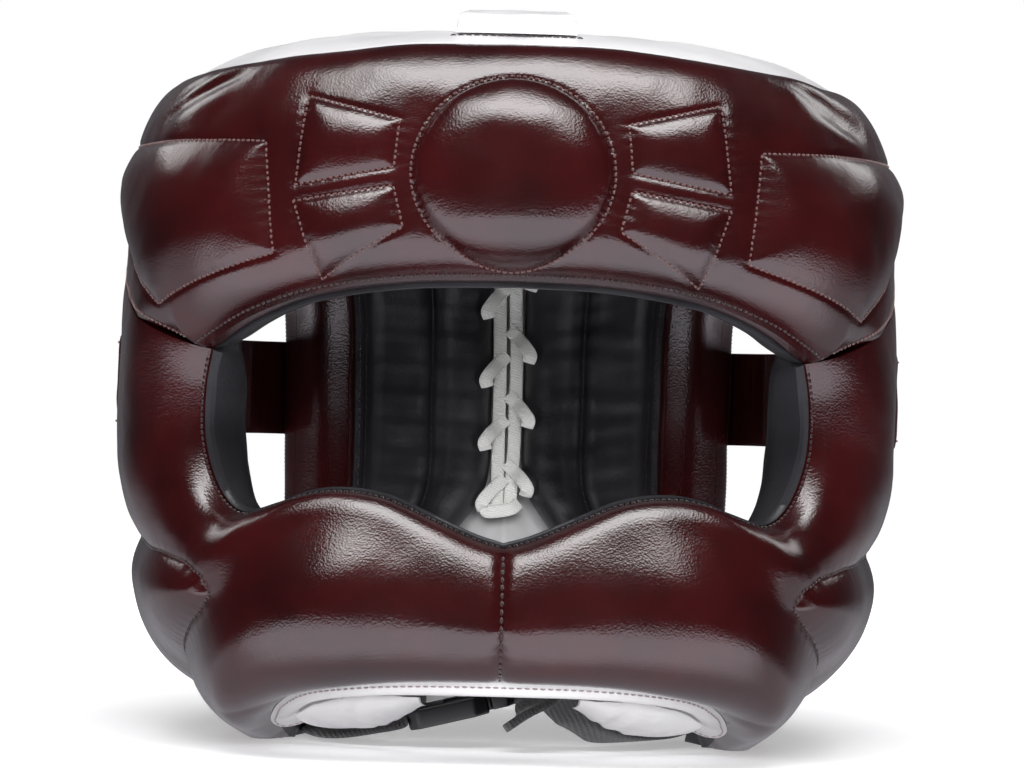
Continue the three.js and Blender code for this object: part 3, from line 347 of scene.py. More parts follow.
def smooth_line(points, shares):
    """Centripetal curve through points, at shares of its length from 0 to 1."""
    points = np.asarray(points, float)
    padded = np.vstack([2 * points[0] - points[1], points, 2 * points[-1] - points[-2]])
    place = np.asarray(shares, float) * (len(points) - 1)
    k = np.clip(np.floor(place).astype(int), 0, len(points) - 2)
    t = (place - k)[:, None]
    p0, p1, p2, p3 = (padded[k + offset] for offset in range(4))
    gap = [np.maximum(np.linalg.norm(b - a, axis=1), 1e-6)[:, None] ** 0.5
           for a, b in ((p0, p1), (p1, p2), (p2, p3))]
    first = ((p1 - p0) / gap[0] - (p2 - p0) / (gap[0] + gap[1]) + (p2 - p1) / gap[1]) * gap[1]
    last = ((p2 - p1) / gap[1] - (p3 - p1) / (gap[1] + gap[2]) + (p3 - p2) / gap[2]) * gap[1]
    return ((2 * t ** 3 - 3 * t ** 2 + 1) * p1 + (t ** 3 - 2 * t ** 2 + t) * first
            + (3 * t ** 2 - 2 * t ** 3) * p2 + (t ** 3 - t ** 2) * last)


def polygon_distances(u, z, corners):
    """Distance inside each edge, distance to the outline, and the place along it."""
    inside = []
    outline = np.full(np.shape(u), np.inf)
    place = np.zeros(np.shape(u))
    run = 0
    for (u0, z0), (u1, z1) in zip(corners, corners[1:] + corners[:1]):
        length = math.hypot(u1 - u0, z1 - z0)
        inside.append(((u - u0) * (z1 - z0) - (z - z0) * (u1 - u0)) / length)
        t = np.clip(((u - u0) * (u1 - u0) + (z - z0) * (z1 - z0)) / length ** 2, 0, 1)
        reach = np.hypot(u - lerp(u0, u1, t), z - lerp(z0, z1, t))
        place = np.where(reach < outline, run + t * length, place)
        outline = np.minimum(outline, reach)
        run += length
    return inside, outline, place


def inset(inside):
    """Distance in from the nearest edge, eased where two edges are equally near."""
    near = sum(np.maximum(distance, 1e-3) ** -4 for distance in inside)
    return near ** -0.25


def share_grid(columns, rows):
    """Shares along and across a sheet, each from 0 to 1."""
    return np.meshgrid(np.linspace(0, 1, columns), np.linspace(0, 1, rows), indexing="ij")


def corner_line(corners, count):
    """A number of points along each straight edge between corners."""
    corners = np.array(corners, float)
    return np.vstack([lerp(a, b, np.linspace(0, 1, count)[:, None])
                      for a, b in zip(corners, corners[1:])])


def rolled(over):
    """How far a rolled edge stands out, by the share of its width."""
    return LIP_ROLL * np.sqrt(np.clip(1 - (2 * over - 1) ** 2, 0, 1))


def seam_relief(distance, place):
    """Groove along a sewn line and the puckers that its thread draws up."""
    groove = -GROOVE["depth"] * np.exp(-(distance / GROOVE["width"]) ** 2)
    gather = np.sin(2 * np.pi * place / PUCKER["pitch"]) * np.exp(-distance / PUCKER["reach"])
    return groove + PUCKER["height"] * gather


# Mesh making.

def finished_object(name, mesh, sharp_deg):
    """Object of a mesh, shaded smooth but for edges sharper than an angle."""
    mesh.polygons.foreach_set("use_smooth", [True] * len(mesh.polygons))
    mesh.set_sharp_from_angle(angle=math.radians(sharp_deg))
    piece = bpy.data.objects.new(name, mesh)
    bpy.context.scene.collection.objects.link(piece)
    return piece


def mesh_object(name, points, faces):
    mesh = bpy.data.meshes.new(name)
    mesh.from_pydata((np.asarray(points, float) * MM).tolist(), [], faces)
    return finished_object(name, mesh, SHARP_DEG)


def face_out(piece):
    """Turns the faces of closed bodies outwards."""
    work = bmesh.new()
    work.from_mesh(piece.data)
    bmesh.ops.recalc_face_normals(work, faces=work.faces)
    work.to_mesh(piece.data)
    work.free()
    return piece


def grid_quads(columns, rows, first=0):
    corner = first + np.arange(columns - 1)[:, None] * rows + np.arange(rows - 1)
    return np.stack([corner, corner + rows, corner + rows + 1, corner + 1], -1).reshape(-1, 4).tolist()


def zipped(first, second):
    """Triangles between two rows of points that may differ in number."""
    i, k, faces = 0, 0, []
    while i < len(first) - 1 or k < len(second) - 1:
        first_share, second_share = (i + 1) / (len(first) - 1), (k + 1) / (len(second) - 1)
        if k == len(second) - 1 or (i < len(first) - 1 and first_share <= second_share):
            faces.append([first[i], first[i + 1], second[k]])
            i += 1
        else:
            faces.append([first[i], second[k + 1], second[k]])
            k += 1
    return faces


def closed_sheet(front, back):
    """Points and faces of a body between a fine front grid and a coarser back grid."""
    columns, rows = front.shape[:2]
    back_rows = back.shape[1]
    points = np.vstack([front.reshape(-1, 3), back.reshape(-1, 3)])
    base = columns * rows
    faces = grid_quads(columns, rows) + grid_quads(columns, back_rows, base)
    for j, k in ((0, 0), (rows - 1, back_rows - 1)):
        for i in range(columns - 1):
            faces.append([i * rows + j, (i + 1) * rows + j,
                          base + (i + 1) * back_rows + k, base + i * back_rows + k])
    for i in (0, columns - 1):
        faces += zipped([i * rows + j for j in range(rows)],
                        [base + i * back_rows + k for k in range(back_rows)])
    return points, faces


def joined(bodies):
    """Several bodies' points and faces as one."""
    points, faces, count = [], [], 0
    for body_points, body_faces in bodies:
        points.append(body_points)
        faces += [[index + count for index in face] for face in body_faces]
        count += len(body_points)
    return np.vstack(points), faces


def sweep_faces(stations, count):
    """Faces of a closed section carried through stations, with both ends capped."""
    faces = []
    for s in range(stations - 1):
        for k in range(count):
            a, b = s * count + k, s * count + (k + 1) % count
            faces.append([a, b, b + count, a + count])
    last = (stations - 1) * count
    return faces + [list(range(count))[::-1], list(range(last, last + count))]


BAND_SIDES = 5                 # points round each edge of a band's section


def swept_band(middles, across, through, half_width, half_thick, outline):
    """Points and faces of a band with the given section along a path."""
    outline = np.asarray(outline, float)
    half_width = np.broadcast_to(half_width, len(middles))
    points = (middles[:, None] + across[:, None] * (outline[:, 0] * half_width[:, None])[..., None]
              + through[:, None] * (outline[:, 1] * half_thick)[None, :, None])
    points[..., 2] = np.maximum(points[..., 2], 0)
    return points.reshape(-1, 3), sweep_faces(len(middles), len(outline))


def band_outline(edge_share, crown):
    """Section of a flat band with round edges, as shares of its half width and half thickness."""
    bend = np.linspace(-np.pi / 2, np.pi / 2, BAND_SIDES)
    right = np.stack([1 - edge_share + edge_share * np.cos(bend), np.sin(bend)], -1)
    top = np.linspace(1 - edge_share, edge_share - 1, BAND_SIDES)[1:-1]
    upper = np.stack([top, 1 + crown * (1 - top ** 2)], -1)
    return np.vstack([right, upper, -right, -upper])


STITCH_RINGS = table("along radius rise", [
    (-0.5, 0.45, -0.75), (-0.34, 0.9, 0.1), (0, 1, 0.5), (0.34, 0.9, 0.1), (0.5, 0.45, -0.75),
])
STITCH_SIDES = 6


def at_run(values, run, where):
    """Rows of values, read at places along a run."""
    return np.stack([np.interp(where, run, values[:, k]) for k in range(3)], -1)


def stitches(path, normals, radius=STITCH["radius"], pitch=STITCH["pitch"]):
    """Points and faces of a row of thread stitches along a path on a surface."""
    run = path_run(path)
    count = max(int(run[-1] / pitch), 1)
    at = (np.arange(count) + 0.5) * run[-1] / count
    middle = at_run(path, run, at)
    along = unit(at_run(path, run, at + pitch / 3) - at_run(path, run, at - pitch / 3))
    up = unit(at_run(normals, run, at))
    side = unit(np.cross(up, along))
    angle = np.arange(STITCH_SIDES) * 2 * np.pi / STITCH_SIDES
    spread = side[:, None] * np.cos(angle)[:, None] + up[:, None] * np.sin(angle)[:, None]
    length = pitch * STITCH["share"]
    rings = []
    for far, size, rise in zip(*STITCH_RINGS.values()):
        centre = middle + along * far * length + up * rise * radius
        rings.append(centre[:, None] + spread * size * radius)
    points = np.stack(rings, 1)
    body = sweep_faces(len(rings), STITCH_SIDES)
    size = len(rings) * STITCH_SIDES
    faces = [[index + s * size for index in face] for s in range(count) for face in body]
    return points.reshape(-1, 3), faces


def on_surface(surface, first, second, steps, flip=1):
    """Points and outward normals of a surface at places given by its two parameters."""
    along = surface(first + steps[0], second) - surface(first - steps[0], second)
    up = surface(first, second + steps[1]) - surface(first, second - steps[1])
    return surface(first, second), unit(np.cross(along, up)) * flip


# Materials.

def linear(hex_colour):
    """Linear colour of an sRGB hex value."""
    values = [int(hex_colour[k:k + 2], 16) / 255 for k in (1, 3, 5)]
    return [v / 12.92 if v <= 0.04045 else ((v + 0.055) / 1.055) ** 2.4 for v in values] + [1]


def add_node(tree, kind, settings=None, inputs=None):
    """A shader node with its own settings, and its sockets set or linked."""
    made = tree.nodes.new(kind)
    for key, value in (settings or {}).items():
        setattr(made, key, value)
    for key, value in (inputs or {}).items():
        if isinstance(value, bpy.types.NodeSocket):
            tree.links.new(value, made.inputs[key])
        else:
            made.inputs[key].default_value = value
    return made


def new_material(name):
    material = bpy.data.materials.new(name)
    material.use_nodes = True
    tree = material.node_tree
    tree.nodes.clear()
    place = add_node(tree, "ShaderNodeTexCoord").outputs["Object"]
    return material, tree, place


def close_material(tree, shader_inputs):
    shader = add_node(tree, "ShaderNodeBsdfPrincipled", inputs=shader_inputs)
    add_node(tree, "ShaderNodeOutputMaterial", inputs={"Surface": shader.outputs["BSDF"]})


DYE_CLOUD_MM = 34              # size of the dye's uneven patches
FOLD_PER_PORE = 2.4            # fine creases, as a multiple of the pores' size
WAVE_PERIOD = 0.314            # about the length of one rib of the wave pattern at a scale of 1
FIBRE_PER_THREAD, RIB_PER_THREAD = 0.7, 0.3
GRIT_MM, GRIT_DEPTH_MM = 0.5, 0.02


def leather(name, light, dark, grain_mm, grain_depth_mm, roughness, shader):
    """Tanned hide: pores and fine creases of the given size break up the gloss, and the dye is a
    little uneven over a few centimetres."""
    material, tree, place = new_material(name)
    cloud = add_node(tree, "ShaderNodeTexNoise", inputs={
        "Vector": place, "Scale": 1 / (DYE_CLOUD_MM * MM), "Detail": 4.0, "Roughness": 0.6})
    uneven = add_node(tree, "ShaderNodeMapRange", inputs={
        "Value": cloud.outputs["Fac"], "From Min": 0.35, "From Max": 0.68})
    dye = add_node(tree, "ShaderNodeMix", {"data_type": "RGBA"}, {
        "Factor": uneven.outputs["Result"], "A": linear(dark), "B": linear(light)})
    pores = add_node(tree, "ShaderNodeTexVoronoi", {"feature": "SMOOTH_F1"}, {
        "Vector": place, "Scale": 1 / (grain_mm * MM), "Smoothness": 0.6})
    folds = add_node(tree, "ShaderNodeTexNoise", inputs={
        "Vector": place, "Scale": 1 / (grain_mm * FOLD_PER_PORE * MM), "Detail": 3.0,
        "Roughness": 0.65})
    height = add_node(tree, "ShaderNodeMath", {"operation": "MULTIPLY_ADD"}, {
        0: folds.outputs["Fac"], 1: 0.9, 2: pores.outputs["Distance"]})
    bump = add_node(tree, "ShaderNodeBump", inputs={
        "Height": height.outputs["Value"], "Strength": 1.0, "Distance": grain_depth_mm * MM})
    worn = add_node(tree, "ShaderNodeMapRange", inputs={
        "Value": cloud.outputs["Fac"], "From Min": 0.3, "From Max": 0.7,
        "To Min": roughness[0], "To Max": roughness[1]})
    close_material(tree, {"Base Color": dye.outputs["Result"], "Normal": bump.outputs["Normal"],
                          "Coat Normal": bump.outputs["Normal"], "Roughness": worn.outputs["Result"],
                          **shader})
    return material


def woven(name, light, dark, thread_mm, roughness, turn):
    """Flat woven yarn: ribs across the band that catch the light, at the real thread spacing. The
    colour is also painted lighter on the rib tops and darker between them, a painted highlight and
    painted shade.
    """
    material, tree, place = new_material(name)
    turned = add_node(tree, "ShaderNodeMapping", inputs={"Vector": place, "Rotation": turn})
    ribs = add_node(tree, "ShaderNodeTexWave", {"bands_direction": "DIAGONAL"}, {
        "Vector": turned.outputs["Vector"], "Scale": WAVE_PERIOD / (thread_mm * MM), "Distortion": 1.5,
        "Detail": 2.0, "Detail Scale": 3.0})
    fibre = add_node(tree, "ShaderNodeTexNoise", inputs={
        "Vector": place, "Scale": 1 / (thread_mm * FIBRE_PER_THREAD * MM), "Detail": 2.0})
    # Painted highlight and painted shade: the colour follows the ribs, lighter where they stand high
    # and darker in the hollows between them.
    shade = add_node(tree, "ShaderNodeMix", {"data_type": "RGBA"}, {
        "Factor": ribs.outputs["Fac"], "A": linear(dark), "B": linear(light)})
    height = add_node(tree, "ShaderNodeMath", {"operation": "MULTIPLY_ADD"}, {
        0: fibre.outputs["Fac"], 1: 0.5, 2: ribs.outputs["Fac"]})
    bump = add_node(tree, "ShaderNodeBump", inputs={
        "Height": height.outputs["Value"], "Strength": 0.8,
        "Distance": thread_mm * RIB_PER_THREAD * MM})
    close_material(tree, {"Base Color": shade.outputs["Result"], "Normal": bump.outputs["Normal"],
                          "Roughness": roughness, "Sheen Weight": 0.25})
    return material


def moulded_acetal():
    """Injection-moulded acetal: near black, softly glossy, with a fine spark-eroded texture."""
    material, tree, place = new_material("moulded_black_acetal")
    grit = add_node(tree, "ShaderNodeTexNoise", inputs={
        "Vector": place, "Scale": 1 / (GRIT_MM * MM), "Detail": 2.0})
    shade = add_node(tree, "ShaderNodeMix", {"data_type": "RGBA"}, {
        "Factor": grit.outputs["Fac"], "A": linear("#0c0c0d"), "B": linear("#18181a")})
    bump = add_node(tree, "ShaderNodeBump", inputs={
        "Height": grit.outputs["Fac"], "Strength": 0.6, "Distance": GRIT_DEPTH_MM * MM})
    close_material(tree, {"Base Color": shade.outputs["Result"], "Normal": bump.outputs["Normal"],
                          "Roughness": 0.34, "IOR": 1.48})
    return material


# Polished oxblood cowhide: a deep red dye under a clear glaze that mirrors the table. The glaze fills
# the grain, so the hide below it hardly shines of its own.
oxblood = leather("polished_oxblood_leather", "#30090b", "#200607", 0.62, 0.048, (0.3, 0.42), {
    "IOR": 1.5, "Specular IOR Level": 0.06, "Coat Weight": 1.0, "Coat Roughness": 0.18,
    "Coat IOR": 1.65})
# Satin black nappa: soft and wrinkled, with a dull wide gloss.
black = leather("satin_black_leather", "#28282c", "#19191c", 1.0, 0.05, (0.36, 0.5), {"IOR": 1.5})
# White pigmented leather: an even coat of paint over a fine grain.
white = leather("pigmented_white_leather", "#d3d2d3", "#c8c7c9", 0.9, 0.02, (0.34, 0.46), {"IOR": 1.5})
# Woven cotton lace, off white.
lace_weave = woven("woven_white_lace", "#fafaf8", "#efefec", 0.6, 0.85, (0, 0.5, 0))
# Nylon webbing, ribbed across.
webbing = woven("woven_black_webbing", "#18181a", "#09090a", 1.0, 0.6, (0, 0, 0.6))
acetal = moulded_acetal()
# Bonded polyester thread, waxed: a little lighter than the leather it holds.
wine_thread = woven("bonded_wine_thread", "#644442", "#382020", 0.5, 0.5, (0, 0, 0.4))
dark_thread = woven("bonded_dark_thread", "#2a1416", "#150a0b", 0.5, 0.45, (0, 0, 0.4))
grey_thread = woven("bonded_grey_thread", "#b7a9ad", "#8d7f84", 0.5, 0.5, (0, 0, 0.4))


def settle(piece, material, nodes=()):
    """Gives a piece its finish and its place in the frame."""
    piece.data.materials.append(material)
    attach(piece, "root")
    if nodes:
        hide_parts(*nodes)


# Forehead pad and its lining.

brow_corner_deg = float(deg_at_width(BROW_CORNER_X, BROW_CORNER_Z))


def brow_top(deg):
    level = np.full(np.shape(deg), BROW_TOP_LEVEL)
    x = np.minimum(np.abs(sewn_point(deg, level)[..., 0]), BROW_CORNER_X)
    front = read(BROW_EDGE, "x", "top", x)
    return lerp(front, BROW_TOP_REAR, smooth(np.abs(deg), BROW_FALL_DEG, REAR_EDGE_DEG))


def brow_bottom(deg):
    turn = np.abs(deg)
    share = (turn - brow_corner_deg) / (REAR_EDGE_DEG - brow_corner_deg)
    z = np.full(np.shape(turn), float(BROW_CORNER_Z))
    for _ in range(SEARCH_PASSES):
        x = np.minimum(np.abs(sewn_point(turn, z)[..., 0]), BROW_CORNER_X)
        z = read(BROW_EDGE, "x", "sight", x)
    return np.where(turn >= brow_corner_deg, lerp(BROW_CORNER_Z, BROW_SEAM_REAR, share), z)


whole_degrees = np.arange(REAR_EDGE_DEG + 2.0)
level_line = off_point(whole_degrees, np.full(len(whole_degrees), COMPARTMENT_LEVEL), BROW["body"])
level_run = path_run(level_line)


def forehead_width(deg):
    """Width along the outside of the forehead from the middle, less than zero on the left."""
    return np.sign(deg) * np.interp(np.minimum(np.abs(deg), REAR_EDGE_DEG), whole_degrees, level_run)


def forehead_deg(width):
    return np.sign(width) * np.interp(np.abs(width), level_run, whole_degrees)


# Creases of the glazed leather on the forehead: both ends as width and height, depth and width.
FOREHEAD_CREASES = table("u0 z0 u1 z1 depth width", [
    (-126, 179, -86, 194, 1.1, 4.2),
    (-116, 184, -90, 193, 0.45, 2.4),
    (-130, 184, -104, 193, 0.5, 2.6),
    (92, 190, 128, 180, 1.5, 5.0),
    (98, 185, 122, 178, 0.5, 2.6),
    (84, 196, 112, 187, 0.5, 3.0),
])


CREASE_FADE = 1.4              # how slowly the shoulders beside a crease die away


def crease_relief(u, z, creases):
    """Soft valleys with a raised shoulder on each side."""
    total = 0
    for u0, z0, u1, z1, depth, width in zip(*creases.values()):
        length = math.hypot(u1 - u0, z1 - z0)
        t = ((u - u0) * (u1 - u0) + (z - z0) * (z1 - z0)) / length ** 2
        off = ((u - u0) * (z1 - z0) - (z - z0) * (u1 - u0)) / length
        fade = np.clip(4 * t * (1 - t), 0, 1)
        far = (off / width) ** 2
        total = total + depth * fade * (far - 1) * np.exp(-far / CREASE_FADE)
    return total


def brow_height(deg, z):
    u = forehead_width(deg)
    turn = np.abs(deg)
    from_top = brow_top(deg) - z
    from_bottom = z - brow_bottom(deg)
    seam = smooth(turn, brow_corner_deg, brow_corner_deg + BROW["corner_deg"])
    lower = lerp(rounded(from_bottom, BROW["sight_round"]),
                 rounded(from_bottom, BROW["seam_round"]), seam)
    edge = BROW["seam_edge"] * seam
    ends = rounded(level_run[REAR_EDGE_DEG] - np.abs(u), BROW["end_round"])
    height = (edge + (BROW["body"] - edge) * lower) * rounded(from_top, BROW["top_round"]) * ends
    height = height + ripples(u, z, FOREHEAD_RIPPLES) * lower * ends
    height = height + crease_relief(u, z, FOREHEAD_CREASES)
    upright = (z - DOME["z"]) * DOME["radius"] / DOME["rise"]
    reach = np.hypot(u, upright)
    height = height + DOME["puff"] * rounded(DOME["radius"] - reach, DOME["radius"])
    ring = np.arctan2(upright, u) * DOME["radius"]
    height = height + seam_relief(np.abs(reach - DOME["radius"]), ring)
    for part in COMPARTMENTS:
        inside, outline, place = polygon_distances(np.abs(u), z, part["corners"])
        puff = part["puff"] * pillow(inset(inside), part["round"])
        height = height + (puff + seam_relief(outline, place)) * ends
    return SEWN_EDGE + height


def brow_surface(deg, z):
    return off_point(deg, z, SEAM_GAP / 2 + brow_height(deg, z))


def brow_grid(columns, rows, lip):
    deg = np.linspace(-REAR_EDGE_DEG, REAR_EDGE_DEG, columns)[:, None]
    over = 1 - smooth(np.abs(deg), brow_corner_deg - BROW["lip_deg"], brow_corner_deg)
    bottom = brow_bottom(deg) + BROW["clear"] - lip * over
    return np.broadcast_arrays(deg, lerp(bottom, brow_top(deg), np.linspace(0, 1, rows)))


def make_forehead():
    columns, rows, inner_rows = FOREHEAD_GRID
    body = closed_sheet(brow_surface(*brow_grid(columns, rows, 0)),
                        off_point(*brow_grid(columns, inner_rows, 0), SEAM_GAP / 2))
    pad = face_out(mesh_object("forehead_leather", *body))
    settle(pad, oxblood, ["forehead_pad"])

    columns, rows, outer_rows = FOREHEAD_LINING_GRID
    deg, z = brow_grid(columns, rows, BROW["lip"])
    u = forehead_width(deg)
    width = BROW["lining_round"]
    ends = rounded(level_run[REAR_EDGE_DEG] - np.abs(u), width)
    swell = rounded(z - z[:, :1], width) * rounded(brow_top(deg) - z, width)
    depth = (SEWN_EDGE + BROW["lining"] * swell * ends
             + ripples(u, z, FOREHEAD_LINING_RIPPLES) * swell)
    outer_deg, outer_z = brow_grid(columns, outer_rows, BROW["lip"])
    over = np.clip((outer_z - outer_z[:, :1]) / BROW["lip"], 0, 1)
    body = closed_sheet(off_point(deg, z, -SEAM_GAP / 2 - depth),
                        off_point(outer_deg, outer_z, -SEAM_GAP / 2 + rolled(over)))
    lining = face_out(mesh_object("forehead_lining_leather", *body))
    settle(lining, black, ["forehead_lining"])

    angle = np.linspace(0, 2 * np.pi, PATH_POINTS["dome"])
    ring = 1 + DOME["stitch_out"] / DOME["radius"]
    outlines = [(DOME["radius"] * ring * np.sin(angle),
                 DOME["z"] + DOME["rise"] * ring * np.cos(angle))]
    for part in COMPARTMENTS:
        u, z = corner_line(part["corners"] + part["corners"][:1], PATH_POINTS["compartment"]).T
        outlines += [(u, z), (-u, z)]
    rows = [stitches(*on_surface(brow_surface, forehead_deg(u), z, BROW_STEPS)) for u, z in outlines]
    for side, _ in SIDES:
        deg = side * np.linspace(brow_corner_deg, REAR_EDGE_DEG - BROW["seam_stitch_end"],
                                 PATH_POINTS["brow_seam"])
        z = brow_bottom(deg) + BROW["seam_stitch"]
        rows.append(stitches(*on_surface(brow_surface, deg, z, BROW_RIM_STEPS)))
    settle(mesh_object("forehead_stitches", *joined(rows)), wine_thread)

    deg = np.linspace(-brow_corner_deg, brow_corner_deg, PATH_POINTS["brow_rim"])
    z = brow_bottom(deg) + BROW["rim_stitch"]
    rim = stitches(*on_surface(brow_surface, deg, z, BROW_RIM_STEPS))
    settle(mesh_object("brow_edge_stitches", *rim), dark_thread)


# Cheek, jaw and nose bar, with their lining.

FACE_ROWS["sight_deg"] = deg_at_width(FACE_ROWS["sight_x"], FACE_ROWS["sight_z"])


def face_station(step):
    columns = ("sight_deg", "sight_z", "edge_deg", "edge_z")
    sight_deg, sight_z, edge_deg, edge_z = (read(FACE_ROWS, "step", column, step) for column in columns)
    straight = np.linalg.norm(sewn_point(sight_deg, sight_z) - sewn_point(edge_deg, edge_z), axis=-1)
    return sight_deg, sight_z, edge_deg, edge_z, straight * CURVE_LENGTH


def face_place(step, b, lip=0):
    """Angle, height, and the distances from the sight edge and the free edge."""
    sight_deg, sight_z, edge_deg, edge_z, width = face_station(step)
    share = lerp(-lip / width, 1, b)
    return (lerp(sight_deg, edge_deg, share), lerp(sight_z, edge_z, share),
            share * width, (1 - share) * width)


def bar_body(step, share):
    wide = smooth(step, BAR["from_row"], BAR["to_row"])
    down = smooth(share, BAR["from_share"], BAR["to_share"])
    top = lerp(BAR["middle_top"], BAR["jaw_top"], wide)
    return lerp(top, lerp(BAR["middle_low"], BAR["jaw_low"], wide), down)


def face_height(step, b, side):
    deg, z, from_sight, from_edge = face_place(step, b)
    seam_run = (FACE_LAST - step) * STATION_RUN
    lift = lerp(FACE["seam_edge"] / FACE["body"], 1, rounded(seam_run, FACE["seam_round"]))
    low = 1 - smooth(z, FACE["thin_low"], FACE["thin_high"])
    jaw = smooth(deg, FACE["thin_from_deg"], FACE["thin_to_deg"]) * low
    cheek = smooth(step, BAR["end_row"], BAR["cheek_row"])
    edge = rounded(from_edge, lerp(BAR["edge_round"], FACE["edge_round"], cheek))
    sight = rounded(from_sight, FACE["sight_round"])
    body = lerp(bar_body(step, b), lerp(FACE["body"], FACE["jaw_body"], jaw), cheek)
    height = body * lift * sight * edge
    around = deg * JAW_PUFF["mm_per_deg"]
    height = height + ripples(around, z, FACE_RIPPLES, side) * sight
    corners = [(a * JAW_PUFF["mm_per_deg"], c) for a, c in JAW_CORNERS]
    inside, outline, place = polygon_distances(around, z, corners)
    del inside[JAW_PUFF["rear_edge"]]
    puff = JAW_PUFF["puff"] * pillow(inset(inside), JAW_PUFF["round"])
    valley = JAW_PUFF["valley"] * np.exp(-(outline / JAW_PUFF["valley_width"]) ** 2)
    height = height + (puff + seam_relief(outline, place) - valley) * edge
    x = np.abs(sewn_point(deg, z)[..., 0])
    dip = np.maximum(0, 1 - x / FACE["dip_width"]) ** 2
    gather = np.sin(2 * np.pi * z / FACE["seam_pitch"]) * np.exp(-x / FACE["seam_reach"])
    height = height - FACE["dip"] * dip + PUCKER["height"] * gather
    return SEWN_EDGE + np.maximum(0, height)


def face_surface(step, b, side):
    deg, z, _, _ = face_place(step, b)
    return for_side(off_point(deg, z, SEAM_GAP / 2 + face_height(step, b, side)), side)


def face_param(deg, z):
    """Station and share across it that lie at an angle and height of the cheek."""
    steps, shares = np.meshgrid(np.linspace(*CHEEK_SEARCH["stations"]),
                                np.linspace(*CHEEK_SEARCH["shares"]), indexing="ij")
    grid_deg, grid_z, _, _ = face_place(steps, shares)
    found = [np.argmin(((grid_deg - d) * JAW_PUFF["mm_per_deg"]) ** 2 + (grid_z - h) ** 2)
             for d, h in zip(deg, z)]
    step, b = steps.ravel()[found], shares.ravel()[found]
    small = CHEEK_SEARCH["step"]
    for _ in range(CHEEK_SEARCH["passes"]):
        here = np.stack(face_place(step, b)[:2])
        by_step = (np.stack(face_place(step + small, b)[:2]) - here) / small
        by_share = (np.stack(face_place(step, b + small)[:2]) - here) / small
        miss = np.stack([deg, z]) - here
        area = by_step[0] * by_share[1] - by_step[1] * by_share[0]
        step = np.clip(step + (miss[0] * by_share[1] - miss[1] * by_share[0]) / area,
                       *CHEEK_STATION_LIMITS)
        b = np.clip(b + (by_step[0] * miss[1] - by_step[1] * miss[0]) / area, *CHEEK_SHARE_LIMITS)
    return step, b


def lining_depth(step, from_sight, from_edge):
    width = FACE["lining_round"]
    cheek = smooth(step, FACE["bar_row"], FACE["cheek_row"])
    body = lerp(FACE["bar_lining"], FACE["cheek_lining"], cheek)
    seam = rounded((FACE_LAST - step) * STATION_RUN, width)
    swell = rounded(from_sight + LINING_LIP, width) * rounded(from_edge, width)
    return SEWN_EDGE + body * swell * lerp(FACE["seam_share"], 1, seam)


def make_face():
    columns, rows, inner_rows = FACE_GRID
    step = lerp(SEAM_STEP, FACE_LAST - SEAM_STEP, np.linspace(0, 1, columns))[:, None]
    outside = np.broadcast_arrays(step, np.linspace(0, 1, rows)[None, :])
    deg, z, _, _ = face_place(*np.broadcast_arrays(step, np.linspace(0, 1, inner_rows)[None, :]))
    sewn = off_point(deg, z, FACE["sewn_back"])
    edge_step = np.linspace(EDGE_STITCH["first"], EDGE_STITCH["last"], PATH_POINTS["sight_edge"])
    edge, inside = (
        off_point(*face_place(edge_step, EDGE_STITCH[away] / face_station(edge_step)[4])[:2],
                  SEAM_GAP / 2 + EDGE_STITCH["lift"]) for away in ("on", "inside"))
    rear = JAW_PUFF["rear_edge"] + 1
    jaw_line = corner_line(JAW_CORNERS[rear:] + JAW_CORNERS[:rear], PATH_POINTS["jaw"])
    jaw_step, jaw_share = face_param(*jaw_line.T)
    kept = jaw_share < SEAM_END_SHARE
    edge_rows, jaw_rows = [], []
    for side, word in SIDES:
        body = closed_sheet(face_surface(*outside, side), for_side(sewn, side))
        guard = face_out(mesh_object(f"face_leather_{word}", *body))
        settle(guard, oxblood, [f"face_guard_{word}"])
        edge_rows.append(stitches(for_side(edge, side), for_side(unit(edge - inside), side)))
        line = on_surface(partial(face_surface, side=side), jaw_step[kept], jaw_share[kept],
                          FACE_STEPS, -side)
        jaw_rows.append(stitches(*line))
    settle(mesh_object("jaw_stitches", *joined(jaw_rows)), dark_thread)

    share = np.linspace(MIDDLE_STITCH["first"], MIDDLE_STITCH["last"], PATH_POINTS["middle_seam"])
    seam = face_surface(np.full(len(share), SEAM_STEP), share, 1)
    seam[:, 0] = 0
    normal = np.tile([0.0, -1.0, 0.1], (len(share), 1))
    edge_rows.append(stitches(seam, normal, MIDDLE_STITCH["radius"], MIDDLE_STITCH["pitch"]))
    settle(mesh_object("face_edge_stitches", *joined(edge_rows)), dark_thread)

    columns, rows = FACE_LINING_GRID
    turn = np.linspace(-1, 1, columns)[:, None] * (FACE_LAST - SEAM_STEP)
    side = np.sign(turn)
    step, shares = np.broadcast_arrays(np.abs(turn), np.linspace(0, 1, rows)[None, :])
    deg, z, from_sight, from_edge = face_place(step, shares, LINING_LIP)
    wrinkle = ripples(deg * side * LINING_MM_PER_DEG, z, FACE_LINING_RIPPLES)
    depth = (lining_depth(step, from_sight, from_edge)
             + wrinkle * rounded(from_edge, FACE["lining_round"]))
    inner = off_point(deg * side, z, -FACE["lining_gap"] - depth)
    step, shares = np.broadcast_arrays(np.abs(turn), FACE_LINING_SHARES[None, :])
    deg, z, from_sight, _ = face_place(step, shares, LINING_LIP)
    over = np.clip(from_sight / LINING_LIP + 1, 0, 1)
    outer = off_point(deg * side, z, -FACE["lining_gap"] + rolled(over))
    lining = face_out(mesh_object("face_lining_leather", *closed_sheet(inner, outer)))
    settle(lining, black, ["face_lining"])


# Back halves: padded outside, channelled lining, and the leather turned in round the front edge.

def back_place(a, z):
    front_deg = read(BACK_EDGE, "z", "front_deg", z)
    middle_deg = read(BACK_EDGE, "z", "middle_deg", z)
    width = np.linalg.norm(sewn_point(front_deg, z) - sewn_point(middle_deg, z), axis=-1)
    return lerp(front_deg, middle_deg, a), width


